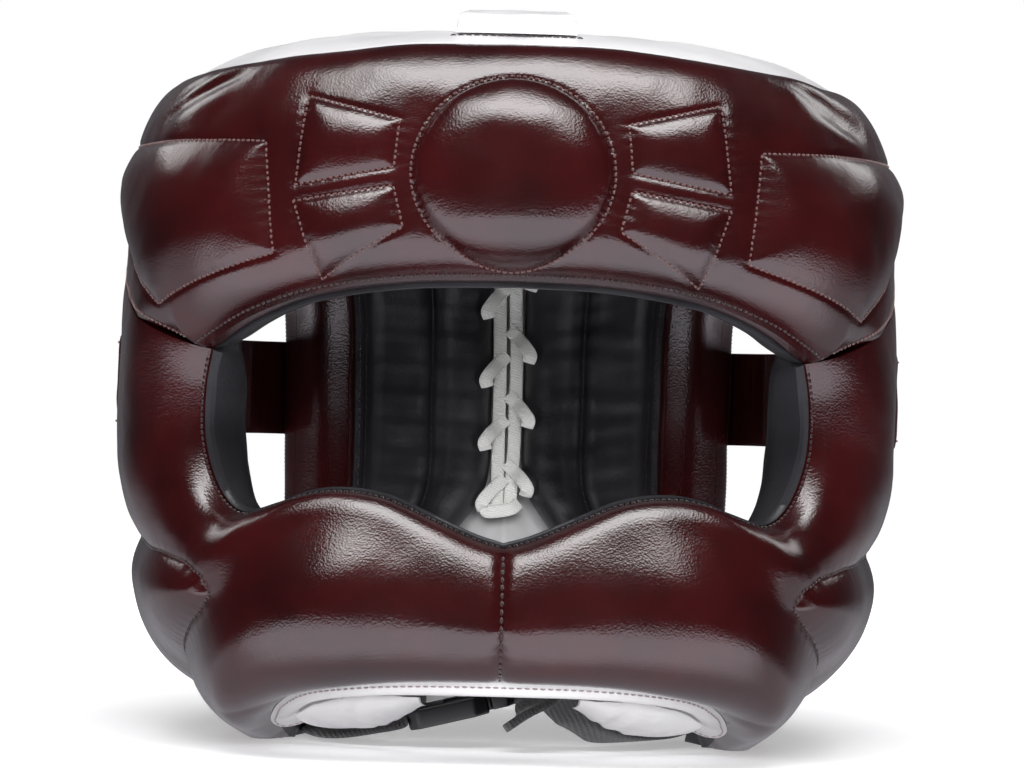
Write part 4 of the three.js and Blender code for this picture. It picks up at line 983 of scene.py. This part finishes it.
def back_rise(a, z, width):
    return (rounded(a * width, BACK["round"]) * rounded((1 - a) * width, BACK["round"])
            * rounded(z + BACK["foot"], BACK["round"]) * rounded(BACK["top"] - z, BACK["round"]))


def channel_distance(a, width):
    return np.min([np.abs(a - share) for share in BACK["channels"]], axis=0) * width


def back_lining_depth(a, z, width):
    dip = np.maximum(0, 1 - channel_distance(a, width) / BACK["channel_width"]) ** 2
    return SEWN_EDGE + (BACK["lining"] - BACK["channel"] * dip) * back_rise(a, z, width)


# Distance of each sheet of a back half from the sewn surface.

def back_outside(a, z, width, side):
    swell = back_rise(a, z, width)
    body = SEAM_GAP / 2 + SEWN_EDGE + BACK["body"] * swell
    return body + ripples(a * width, z, BACK_RIPPLES, side) * swell


def back_inside(a, z, width, side):
    wrinkle = (ripples(a * width * WRINKLE_STRETCH, z, BACK_WRINKLES, side)
               + ripples(a * width, z, BACK_LINING_RIPPLES, side))
    groove = seam_relief(channel_distance(a, width), z)
    return (-SEAM_GAP / 2 - back_lining_depth(a, z, width)
            - (wrinkle + groove) * back_rise(a, z, width))


def back_turned(a, z, width, side):
    """Leather turned in over the lining, tucked under it at the end."""
    end = BACK["turned_share"]
    return (-SEAM_GAP / 2 - back_lining_depth(a, z, width) - BACK["turned_over"]
            + BACK["tuck"] * smooth(a, end * BACK["tuck_from"], end))


def back_level(a, z, width, side, out):
    return out + 0 * a


def back_point(a, z, out, side):
    deg, width = back_place(a, z)
    return for_side(off_point(deg, z, out(a, z, width, side)), side)


def back_body(first, last, word, out, level, side):
    """One padded body between two shares of a back half, from a shaped sheet to a level one."""
    shares = np.linspace(first, last, BACK_COLUMNS[word])[:, None]
    fine, few = (np.linspace(BACK["bottom"], BACK["top"], rows)[None, :]
                 for rows in (BACK_ROWS, BACK_INNER_ROWS))
    flat = partial(back_level, out=level)
    return closed_sheet(back_point(*np.broadcast_arrays(shares, fine), out, side),
                        back_point(*np.broadcast_arrays(shares, few), flat, side))


def back_seams(shares, out, side, flip):
    """Rows of stitches up a back half."""
    height = np.linspace(BACK_STITCH["low"], BACK_STITCH["high"], PATH_POINTS["back"])
    surface = partial(back_point, out=out, side=side)
    lines = [on_surface(surface, np.full(len(height), share), height, BACK_STEPS, flip)
             for share in shares]
    return joined([stitches(*line, pitch=BACK_STITCH["pitch"]) for line in lines])


def make_back():
    turned = BACK["turned_share"]
    for side, word in SIDES:
        bodies = [back_body(0, 1, "outside", back_outside, SEAM_GAP / 2, side),
                  back_body(0, turned, "turned", back_turned, BACK["turned_under"], side)]
        pad = face_out(mesh_object(f"back_leather_{word}", *joined(bodies)))
        settle(pad, oxblood, [f"back_pad_{word}"])
        body = back_body(turned, 1, "lining", back_inside, -SEAM_GAP / 2, side)
        lining = face_out(mesh_object(f"back_lining_leather_{word}", *body))
        settle(lining, black, [f"back_lining_{word}"])
        channels = (turned + BACK_STITCH["past_turned"], *BACK["channels"])
        rows = back_seams(channels, back_inside, side, side)
        settle(mesh_object(f"back_stitches_{word}", *rows), dark_thread)
        hems = back_seams(BACK_STITCH["hems"], back_outside, side, -side)
        settle(mesh_object(f"back_hem_stitches_{word}", *hems), wine_thread)


# Crown.

def crown_rim(deg):
    turn = np.abs(deg)
    front = brow_top(np.minimum(turn, REAR_EDGE_DEG)) + CROWN["rim_gap"]
    return lerp(front, CROWN["back_rim"], smooth(turn, CROWN["fall_from"], CROWN["fall_to"]))


def crown_point(u, v):
    x = u * np.sqrt(1 - v * v / 2)
    y = v * np.sqrt(1 - u * u / 2)
    share = np.hypot(x, y)
    deg = np.degrees(np.arctan2(x, -y))
    rim_z = crown_rim(deg)
    rim = sewn_point(deg, rim_z)
    z = lerp(CROWN["apex"], rim_z, share ** CROWN["bulge"])
    reach = share * CROWN["spread"]
    return np.stack([rim[..., 0] * reach, AXIS_Y + (rim[..., 1] - AXIS_Y) * reach, z], -1)


def crown_height(x, y):
    deg = np.degrees(np.arctan2(x, AXIS_Y - y))
    rim_z = crown_rim(deg)
    rim = sewn_point(deg, rim_z)
    reach = np.hypot(rim[..., 0], rim[..., 1] - AXIS_Y) * CROWN["spread"]
    share = np.minimum(1, np.hypot(x, y - AXIS_Y) / reach)
    return lerp(CROWN["apex"], rim_z, share ** CROWN["bulge"])


def make_crown():
    across = np.linspace(-1, 1, CROWN_GRID)
    u, v = np.meshgrid(across, across, indexing="ij")
    top = crown_point(u, v)
    edge = np.maximum(np.abs(u), np.abs(v))
    top[..., 2] += ripples(top[..., 0], top[..., 1], CROWN_RIPPLES) * (1 - edge ** 4)
    thick = lerp(CROWN["thick"], CROWN["rim_thick"], edge ** 3)
    inner = (top - [0, AXIS_Y, 0]) * (1 - thick * edge / CROWN["reach"])[..., None] + [0, AXIS_Y, 0]
    inner[..., 2] = top[..., 2] - lerp(CROWN["thick"], 0, edge ** 3)
    panel = face_out(mesh_object("crown_leather", *closed_sheet(top, inner[:, ::6])))
    settle(panel, white, ["crown_panel"])

    a, b = share_grid(*CROWN_STRAP_GRID)
    size = CROWN_STRAP
    y = lerp(size["front"], size["back"], b)
    flare = smooth(size["front"] + size["flare"] - y, 0, size["flare"])
    x = lerp(-1, 1, a) * lerp(size["half"], size["front_half"], flare)
    y = y + AXIS_Y
    under = crown_height(x, y) + SEAM_GAP
    side = rounded(np.minimum(a, 1 - a) * 2 * size["half"], size["side_round"])
    ends = rounded(np.minimum(b, 1 - b) * (size["back"] - size["front"]), size["end_round"])
    lift = (lerp(size["edge_thick"], size["thick"], side * ends)
            + ripples(x, y, CROWN_STRAP_RIPPLES) * side * ends)
    body = closed_sheet(np.stack([x, y, under + lift], -1), np.stack([x, y, under], -1)[:, ::6])
    strap = face_out(mesh_object("crown_strap_leather", *body))
    settle(strap, white, ["crown_strap"])
    reach = size["half"] + CROWN_STITCH["past_side"]
    x = np.linspace(-reach, reach, PATH_POINTS["crown"])
    y = np.full(len(x), size["front"] + AXIS_Y - CROWN_STITCH["ahead"])
    row = np.stack([x, y, crown_height(x, y) + CROWN_STITCH["lift"]], -1)
    normal = np.tile([0.0, -0.5, 1.0], (len(x), 1))
    body = stitches(row, normal, CROWN_STITCH["radius"], CROWN_STITCH["pitch"])
    settle(mesh_object("crown_strap_stitches", *body), dark_thread)


# Ear straps and tongue, drawn tight over the pads.

def side_height(deg, z):
    """How far the cheek or the back half stands out at a place beside the ear."""
    front_deg, width = back_place(np.zeros(np.shape(deg)), z)
    middle_deg = read(BACK_EDGE, "z", "middle_deg", z)
    a = (deg - front_deg) / (middle_deg - front_deg)
    back = np.where(a > 1, 0, SEWN_EDGE + BACK["body"] * back_rise(np.clip(a, 0, 1), z, width))
    low = np.full(np.shape(deg), float(CHEEK_ROW))
    high = np.full(np.shape(deg), float(FACE_LAST))
    for _ in range(SEARCH_PASSES):
        step = (low + high) / 2
        sight_deg, _, edge_deg, _, _ = face_station(step)
        share = (deg - sight_deg) / (edge_deg - sight_deg)
        above = face_place(step, share)[1] > z
        high = np.where(above, step, high)
        low = np.where(above, low, step)
    sight_deg, _, edge_deg, _, _ = face_station(low)
    share = np.clip((deg - sight_deg) / (edge_deg - sight_deg), 0, 1)
    cheek = np.where(share < 1, face_height(low, share, 1), 0)
    return np.where(deg > front_deg, back, np.where(deg > REAR_EDGE_DEG, 0, cheek))


def draped_height(deg, z):
    reached = [side_height(deg + turn, z) - abs(turn) * DRAPE_SLOPE for turn in DRAPE_TURNS]
    return np.max(reached + [0 * deg], 0)


def make_ear_straps():
    a, b = share_grid(*EAR_STRAP_GRID)
    deg = lerp(EAR_STRAP["from_deg"], EAR_STRAP["to_deg"], a)
    z = lerp(EAR_STRAP["low"], EAR_STRAP["high"], b)
    middle = np.full(len(a), (EAR_STRAP["low"] + EAR_STRAP["high"]) / 2)
    under = draped_height(deg[:, 0], middle)[:, None] + SEAM_GAP / 2 + EAR_STRAP["lift"]
    round_edge = rounded(np.minimum(b, 1 - b), EAR_STRAP["edge_share"])
    thick = lerp(EAR_STRAP["edge_thick"], EAR_STRAP["thick"], round_edge)
    for side, word in SIDES:
        lift = thick + ripples(deg, z, EAR_STRAP_RIPPLES, side) * round_edge
        outer, inner = (for_side(off_point(deg, z, under + out), side) for out in (lift, 0 * a))
        strap = face_out(mesh_object(f"ear_strap_leather_{word}", *closed_sheet(outer, inner[:, ::5])))
        settle(strap, oxblood, [f"ear_strap_{word}"])
        rows = []
        for share in EAR_STRAP["stitch_shares"]:
            height = np.full(len(a), lerp(EAR_STRAP["low"], EAR_STRAP["high"], share))
            lifted = under[:, 0] + EAR_STRAP["thick"] * EAR_STRAP["stitch_lift"]
            path = for_side(off_point(deg[:, 0], height, lifted), side)
            normals = for_side(sewn_normal(deg[:, 0], middle), side)
            rows.append(stitches(path, normals, pitch=EAR_STRAP["stitch_pitch"]))
        settle(mesh_object(f"ear_stitches_{word}", *joined(rows)), wine_thread)


def make_tongue():
    a, b = share_grid(*TONGUE_GRID)
    z = lerp(TONGUE["bottom"], TONGUE["top"], b)
    reach = 180 - read(BACK_EDGE, "z", "middle_deg", z) + TONGUE["overlap"]
    turn = lerp(-reach, reach, a)
    under = draped_height(180 - np.abs(turn), z) + SEAM_GAP / 2 + TONGUE["lift"]
    fold = ripples(turn * TONGUE["mm_per_deg"], z * TONGUE["fold_stretch"], TONGUE_RIPPLES)
    outer = off_point(180 + turn, z, under + TONGUE["thick"] + fold)
    inner = off_point(180 + turn, z, under + fold)
    tongue = face_out(mesh_object("tongue_leather", *closed_sheet(outer, inner)))
    settle(tongue, white, ["back_tongue"])


# Lace: two flat strands down the back opening, with a loop over the lining at each hole.

def lace_point(x, z):
    deg = 180 - np.degrees(np.arctan2(x, read(LEVELS, "z", "back", z)))
    front_deg, width = back_place(np.zeros(np.shape(z)), z)
    middle_deg = read(BACK_EDGE, "z", "middle_deg", z)
    turned = np.minimum(deg, 360 - deg) - LACE["width"] / 2 * LACE["deg_per_mm"]
    share = (turned - front_deg) / (middle_deg - front_deg)
    under = np.where(share > 1, 0, back_lining_depth(np.minimum(share, 1), z, width))
    depth = np.maximum(under, LACE["depth"]) + LACE["thick"] / 2 + LACE["lift"]
    return off_point(deg, z, -SEAM_GAP / 2 - depth)


def band_frames(path, face):
    along = unit(np.gradient(path, axis=0))
    across = unit(np.cross(along, face))
    return across, unit(np.cross(across, along))


def lace_band(x, z, forward):
    """One length of flat lace through places on the lining, lifted towards the front."""
    line = lace_point(np.asarray(x, float), np.asarray(z, float))
    line[:, 1] -= np.asarray(forward, float)
    path = smooth_line(line, np.linspace(0, 1, LACE["stations"] * (len(line) - 1)))
    across, through = band_frames(path, np.array([0.0, -1.0, 0.0]))
    outline = band_outline(LACE["edge_share"], LACE["crown"])
    return swept_band(path, across, through, LACE["width"] / 2, LACE["thick"] / 2, outline)


def make_lace():
    bodies = []
    for side, _ in SIDES:
        z = np.linspace(LACE["top"], LACE["tail"], LACE["controls"])
        sway = ripples(z, 0 * z, LACE_RIPPLES, side)
        bodies.append(lace_band(side * LACE["strand"] + sway, z, 0 * z))
        for middle in LACE_LOOPS[side]:
            bodies.append(lace_band(side * LACE_LOOP["x"], middle + LACE_LOOP["rise"],
                                    LACE_LOOP["lift"]))
    bodies.append(lace_band(LACE_WRAP["x"], LACE["tail"] + LACE_WRAP["rise"], LACE_WRAP["lift"]))
    lace = face_out(mesh_object("woven_lace", *joined(bodies)))
    settle(lace, lace_weave, ["back_lace"])


# White leather at the arch.

def binding_point(deg, z, inside):
    return sewn_point(deg, z) - sewn_normal(deg, z) * np.asarray(inside, float)[..., None]


def half_binding():
    """Outer edge, inner edge, outward direction and share of the turn, for the right half."""
    _, _, deg, z, _ = face_station(np.linspace(0, BINDING["last_row"], 12))
    controls = np.vstack([np.stack([deg, z, 0 * z], -1), BINDING_LOOP])
    share = np.linspace(0, 1, BINDING["stations"])
    place = smooth_line(controls, share)
    edge = binding_point(*place.T)
    out = sewn_normal(place[:, 0], place[:, 1])
    along = unit(np.gradient(edge, axis=0))
    inner = edge + unit(np.cross(along, out)) * (BINDING["gap"] + BINDING["width"])
    middle = binding_point(*np.array(BINDING_LOOP_MIDDLE, float)[:, None])
    turned = smooth(share * (len(controls) - 1), BINDING["turn_from"], BINDING["turn_to"])
    return edge, lerp(inner, middle, turned[:, None]), out, turned


def make_binding():
    edge, inner, out, turned = half_binding()
    edge, inner, out = (np.vstack([for_side(half[:0:-1], -1), half]) for half in (edge, inner, out))
    turned = np.concatenate([turned[:0:-1], turned])[:, None]
    bend = np.linspace(0, np.pi, 22)
    fold = lerp(BINDING["flat"], 1, np.sin(bend) ** BINDING["fold"])
    share = np.concatenate([[0], fold, [0]])
    front = np.concatenate([[1], np.cos(bend), [-1]])
    height = front * np.where(front > 0, BINDING["outside"],
                              BINDING["inside"] * (1 - BINDING["turn_thin"] * turned))
    points = (edge[:, None] + (inner - edge)[:, None] * share[:, None]
              + out[:, None] * height[..., None])
    points[..., 2] = np.maximum(points[..., 2], BINDING["gap"])
    body = points.reshape(-1, 3), sweep_faces(*points.shape[:2])
    binding = face_out(mesh_object("chin_binding_leather", *body))
    settle(binding, white, ["chin_binding"])
    row = (edge + unit(inner - edge) * BINDING["stitch_in"]
           + out * (BINDING["outside"] + BINDING["stitch_lift"]))
    settle(mesh_object("binding_stitches", *stitches(row, out, **BINDING_STITCH)), grey_thread)


def make_jaw_linings():
    a, b = share_grid(*JAW_LINING_GRID)
    deg = lerp(JAW_LINING["deg"][0], JAW_LINING["deg"][-1], a)
    high, low, reach = (read(JAW_LINING, "deg", column, deg) for column in ("high", "low", "reach"))
    z = lerp(high, low, np.sin(b * np.pi / 2))
    inside = JAW_LINING_START + reach * (1 - np.cos(b * np.pi / 2))
    level = np.full(a.shape, float(JAW_LINING_LEVEL))
    for side, word in SIDES:
        sheets = []
        for thick in (0, JAW_LINING_THICK):
            point = binding_point(deg, level, inside + thick)
            point[..., 2] = np.maximum(z + ripples(deg * 2, z, JAW_LINING_RIPPLES, side), 0)
            sheets.append(for_side(point, side))
        lining = face_out(mesh_object(f"jaw_lining_leather_{word}", *closed_sheet(*sheets)))
        settle(lining, white, [f"jaw_lining_{word}"])


# Chin strap and buckle.

def make_strap(name, rows, node, round_start, round_end):
    points = np.stack([rows["x"], rows["y"] + AXIS_Y, rows["z"]], -1)
    share = np.linspace(0, 1, STRAP["stations"])
    path = smooth_line(points, share)
    run = path_run(path)
    along = unit(np.gradient(path, axis=0))
    level = unit(np.cross([0.0, 0.0, 1.0], along))
    keyed = {"share": np.linspace(0, 1, len(points)), "turn": rows["turn"]}
    turn = np.radians(read(keyed, "share", "turn", share))[:, None]
    across = level * np.cos(turn) + np.cross(along, level) * np.sin(turn)
    through = unit(np.cross(along, across))
    half_width = np.full(len(share), STRAP["width"] / 2)
    if round_start:
        half_width = half_width * rounded(run + STRAP["tip"], STRAP["width"] / 2)
    if round_end:
        half_width = half_width * rounded(run[-1] - run + STRAP["tip"], STRAP["width"])
    outline = band_outline(STRAP["edge_share"], STRAP["crown"])
    body = swept_band(path, across, through, half_width, STRAP["thick"] / 2, outline)
    strap = face_out(mesh_object(name, *body))
    settle(strap, webbing, [node])


def buckle_plate(name, half_outline, thick, bevel, node):
    outline = [(x, -y) for x, y in reversed(half_outline)] + list(half_outline)
    work = bmesh.new()
    lower = [work.verts.new((x * MM, y * MM, -thick / 2 * MM)) for x, y in outline]
    face = work.faces.new(lower)
    raised = bmesh.ops.extrude_face_region(work, geom=[face])["geom"]
    moved = [item for item in raised if isinstance(item, bmesh.types.BMVert)]
    bmesh.ops.translate(work, verts=moved, vec=(0, 0, thick * MM))
    bmesh.ops.recalc_face_normals(work, faces=work.faces)
    bmesh.ops.bevel(work, geom=list(work.edges), offset=bevel * MM, segments=3, affect="EDGES",
                    profile=0.6)
    turn = math.radians(BUCKLE["pitch"])
    for vert in work.verts:
        x, y, z = vert.co
        vert.co = (x * math.cos(turn) - z * math.sin(turn), y, x * math.sin(turn) + z * math.cos(turn))
        vert.co += Vector((BUCKLE["x"], BUCKLE["y"] + AXIS_Y, BUCKLE["z"])) * MM
    mesh = bpy.data.meshes.new(name)
    work.to_mesh(mesh)
    work.free()
    settle(finished_object(name, mesh, BUCKLE_SHARP_DEG), acetal, [node])


def make_buckle():
    half, side, slot = BUCKLE["length"] / 2, BUCKLE["width"] / 2, BUCKLE["slot"] / 2
    buckle_plate("buckle_body_moulding", [
        (0, slot), (half, slot), (half, side - BUCKLE["mouth_cut"]),
        (half - BUCKLE["mouth_cut"], side),
        (BUCKLE["rear_cut"] - half, side), (-half, side - BUCKLE["rear_cut"]),
    ], BUCKLE["thick"], BUCKLE["bevel"], "buckle_body")
    prong, collar = slot - BUCKLE["wall"], side - PRONG["inset"]
    buckle_plate("buckle_prong_moulding", [
        (half + PRONG["tip"], PRONG["tip_half"]), (half + PRONG["neck"], PRONG["neck_half"]),
        (half + PRONG["collar_end"], collar), (half + PRONG["collar"], collar),
        (half + PRONG["collar"], prong), (BUCKLE["wall"], prong),
    ], PRONG["thick"], PRONG["bevel"], "buckle_prong")


make_forehead()
make_face()
make_back()
make_crown()
make_ear_straps()
make_tongue()
make_lace()
make_binding()
make_jaw_linings()
make_strap("chin_strap_webbing_left", STRAP_LEFT, "chin_strap_left", True, False)
make_strap("chin_strap_webbing_right", STRAP_RIGHT, "chin_strap_right", False, True)
make_buckle()


# Stage: a white light table, white paper behind, a dim room in front and soft light from above.

FLOOR_HALF = 6.0
floor_points = np.array([(-1, -1, 0), (1, -1, 0), (1, 1, 0), (-1, 1, 0)], float) * FLOOR_HALF / MM
floor = mesh_object("light_table", floor_points, [[0, 1, 2, 3]])
# Floor that glows of its own, like opal acrylic over lamps. Its glow carries a painted shadow: dim
# under the headgear, full white some way round it.
floor_finish, floor_tree, floor_place = new_material("opal_acrylic_sheet")
away = add_node(floor_tree, "ShaderNodeVectorMath", {"operation": "LENGTH"}, {0: floor_place})
# Painted shadow: the floor's glow is turned down towards the middle, under the headgear, and rises to
# full away from it.
glow_with_painted_shadow = add_node(floor_tree, "ShaderNodeMapRange", inputs={
    "Value": away.outputs["Value"], "From Min": 0.1, "From Max": 0.5, "To Min": 0.35, "To Max": 1.0})
close_material(floor_tree, {
    "Base Color": linear("#e8e8ea"), "Roughness": 0.9, "IOR": 1.3, "Emission Color": linear("#ffffff"),
    "Emission Strength": glow_with_painted_shadow.outputs["Result"]})
floor.data.materials.append(floor_finish)
# Gloss on the leather comes from the room below, which is the same table lit brightest in front.
floor.visible_glossy = False


def softbox_watts(size, radiance):
    """Watts of a soft rectangular light: pi times its area times its radiance."""
    return math.pi * size[0] * size[1] * radiance


def add_softbox(name, place, aim, size, watts, mirrored=True):
    light = bpy.data.lights.new(name, "AREA")
    light.shape = "RECTANGLE"
    light.size, light.size_y = size
    light.energy = watts
    lamp = bpy.data.objects.new(name, light)
    lamp.location = place
    lamp.rotation_euler = (Vector(aim) - Vector(place)).to_track_quat("-Z", "Y").to_euler()
    lamp.visible_camera = False
    lamp.visible_glossy = mirrored
    bpy.context.scene.collection.objects.link(lamp)


# Two softboxes over the headgear, one within the other, so that their glow fades outwards.
for name, height, size, radiance in (("core", 1.43, (1.0, 0.5), 4.5), ("rim", 1.46, (1.6, 0.9), 4.0)):
    add_softbox(f"overhead_softbox_{name}", (0.0, -0.55, height), (0, -0.05, 0.1), size,
                softbox_watts(size, radiance))
# Two more behind, one on each side, which edge the upper corners of pads and compartments.
KICKER = dict(side=0.9, behind=0.75, height=0.93, aim=(0, 0, 0.12), size=(0.6, 0.5), radiance=2.1)
for side, word in SIDES:
    place = (side * KICKER["side"], KICKER["behind"], KICKER["height"])
    add_softbox(f"rear_softbox_{word}", place, KICKER["aim"], KICKER["size"],
                softbox_watts(KICKER["size"], KICKER["radiance"]))
FRONT_FILL = dict(place=(0.0, -1.9, 0.55), aim=(0, 0, 0.1), size=(0.9, 0.7), watts=38)
add_softbox("front_fill", **FRONT_FILL, mirrored=False)

# Brightness of the room: dark above, white paper behind, and the table below by its direction.
ROOM = dict(dark=0.012, paper=0.14, paper_from=0.55, paper_to=0.97, table_front=2.2, table_side=0.72,
            table_back=0.42, table_far=-0.02, table_near=-0.2)
world = bpy.data.worlds.new("studio_room")
world.use_nodes = True
room = world.node_tree
room.nodes.clear()
facing = add_node(room, "ShaderNodeSeparateXYZ", inputs={
    "Vector": add_node(room, "ShaderNodeTexCoord").outputs["Generated"]})
behind = add_node(room, "ShaderNodeMapRange", inputs={
    "Value": facing.outputs["Y"], "From Min": ROOM["paper_from"], "From Max": ROOM["paper_to"],
    "To Min": ROOM["dark"], "To Max": ROOM["paper"]})
ahead = add_node(room, "ShaderNodeMapRange", inputs={
    "Value": facing.outputs["Y"], "From Min": -0.05, "From Max": -0.45,
    "To Min": ROOM["table_side"], "To Max": ROOM["table_front"]})
rear = add_node(room, "ShaderNodeMapRange", inputs={
    "Value": facing.outputs["Y"], "From Min": 0.0, "From Max": 0.8,
    "To Min": 1.0, "To Max": ROOM["table_back"] / ROOM["table_side"]})
table_glow = add_node(room, "ShaderNodeMath", {"operation": "MULTIPLY"}, {
    0: ahead.outputs["Result"], 1: rear.outputs["Result"]})
below = add_node(room, "ShaderNodeMapRange", inputs={
    "Value": facing.outputs["Z"], "From Min": ROOM["table_far"], "From Max": ROOM["table_near"]})
glow = add_node(room, "ShaderNodeMix", {"data_type": "FLOAT"}, {
    "Factor": below.outputs["Result"], "A": behind.outputs["Result"], "B": table_glow.outputs["Value"]})
studio = add_node(room, "ShaderNodeBackground", inputs={
    "Color": linear("#f6f3fc"), "Strength": glow.outputs["Result"]})
paper = add_node(room, "ShaderNodeBackground", inputs={"Color": linear("#ffffff"), "Strength": 1.0})
seen = add_node(room, "ShaderNodeLightPath")
mixed = add_node(room, "ShaderNodeMixShader", inputs={
    0: seen.outputs["Is Camera Ray"], 1: studio.outputs["Background"], 2: paper.outputs["Background"]})
add_node(room, "ShaderNodeOutputWorld", inputs={"Surface": mixed.outputs["Shader"]})
bpy.context.scene.world = world
bpy.context.scene.view_settings.view_transform = "Standard"

# Camera at the photograph's place: level, under half the headgear's height, and a little rolled.
CAMERA_PLACE = (0.0, -1.324, 0.099)
CAMERA_ROLL_DEG = 1.5
FOCAL_PIXELS = 4300
IMAGE_WIDTH = 1024
PRINCIPAL_SHIFT = (5, 28)      # pixels from the lens axis to the image's middle
SENSOR_MM = 36
lens = bpy.data.cameras.new("camera")
lens.sensor_width = SENSOR_MM
lens.lens = FOCAL_PIXELS / IMAGE_WIDTH * SENSOR_MM
lens.shift_x = PRINCIPAL_SHIFT[0] / IMAGE_WIDTH
lens.shift_y = PRINCIPAL_SHIFT[1] / IMAGE_WIDTH
camera = bpy.data.objects.new("camera", lens)
camera.location = CAMERA_PLACE
camera.rotation_euler = (math.pi / 2, -math.radians(CAMERA_ROLL_DEG), 0)
bpy.context.scene.collection.objects.link(camera)
bpy.context.scene.camera = camera
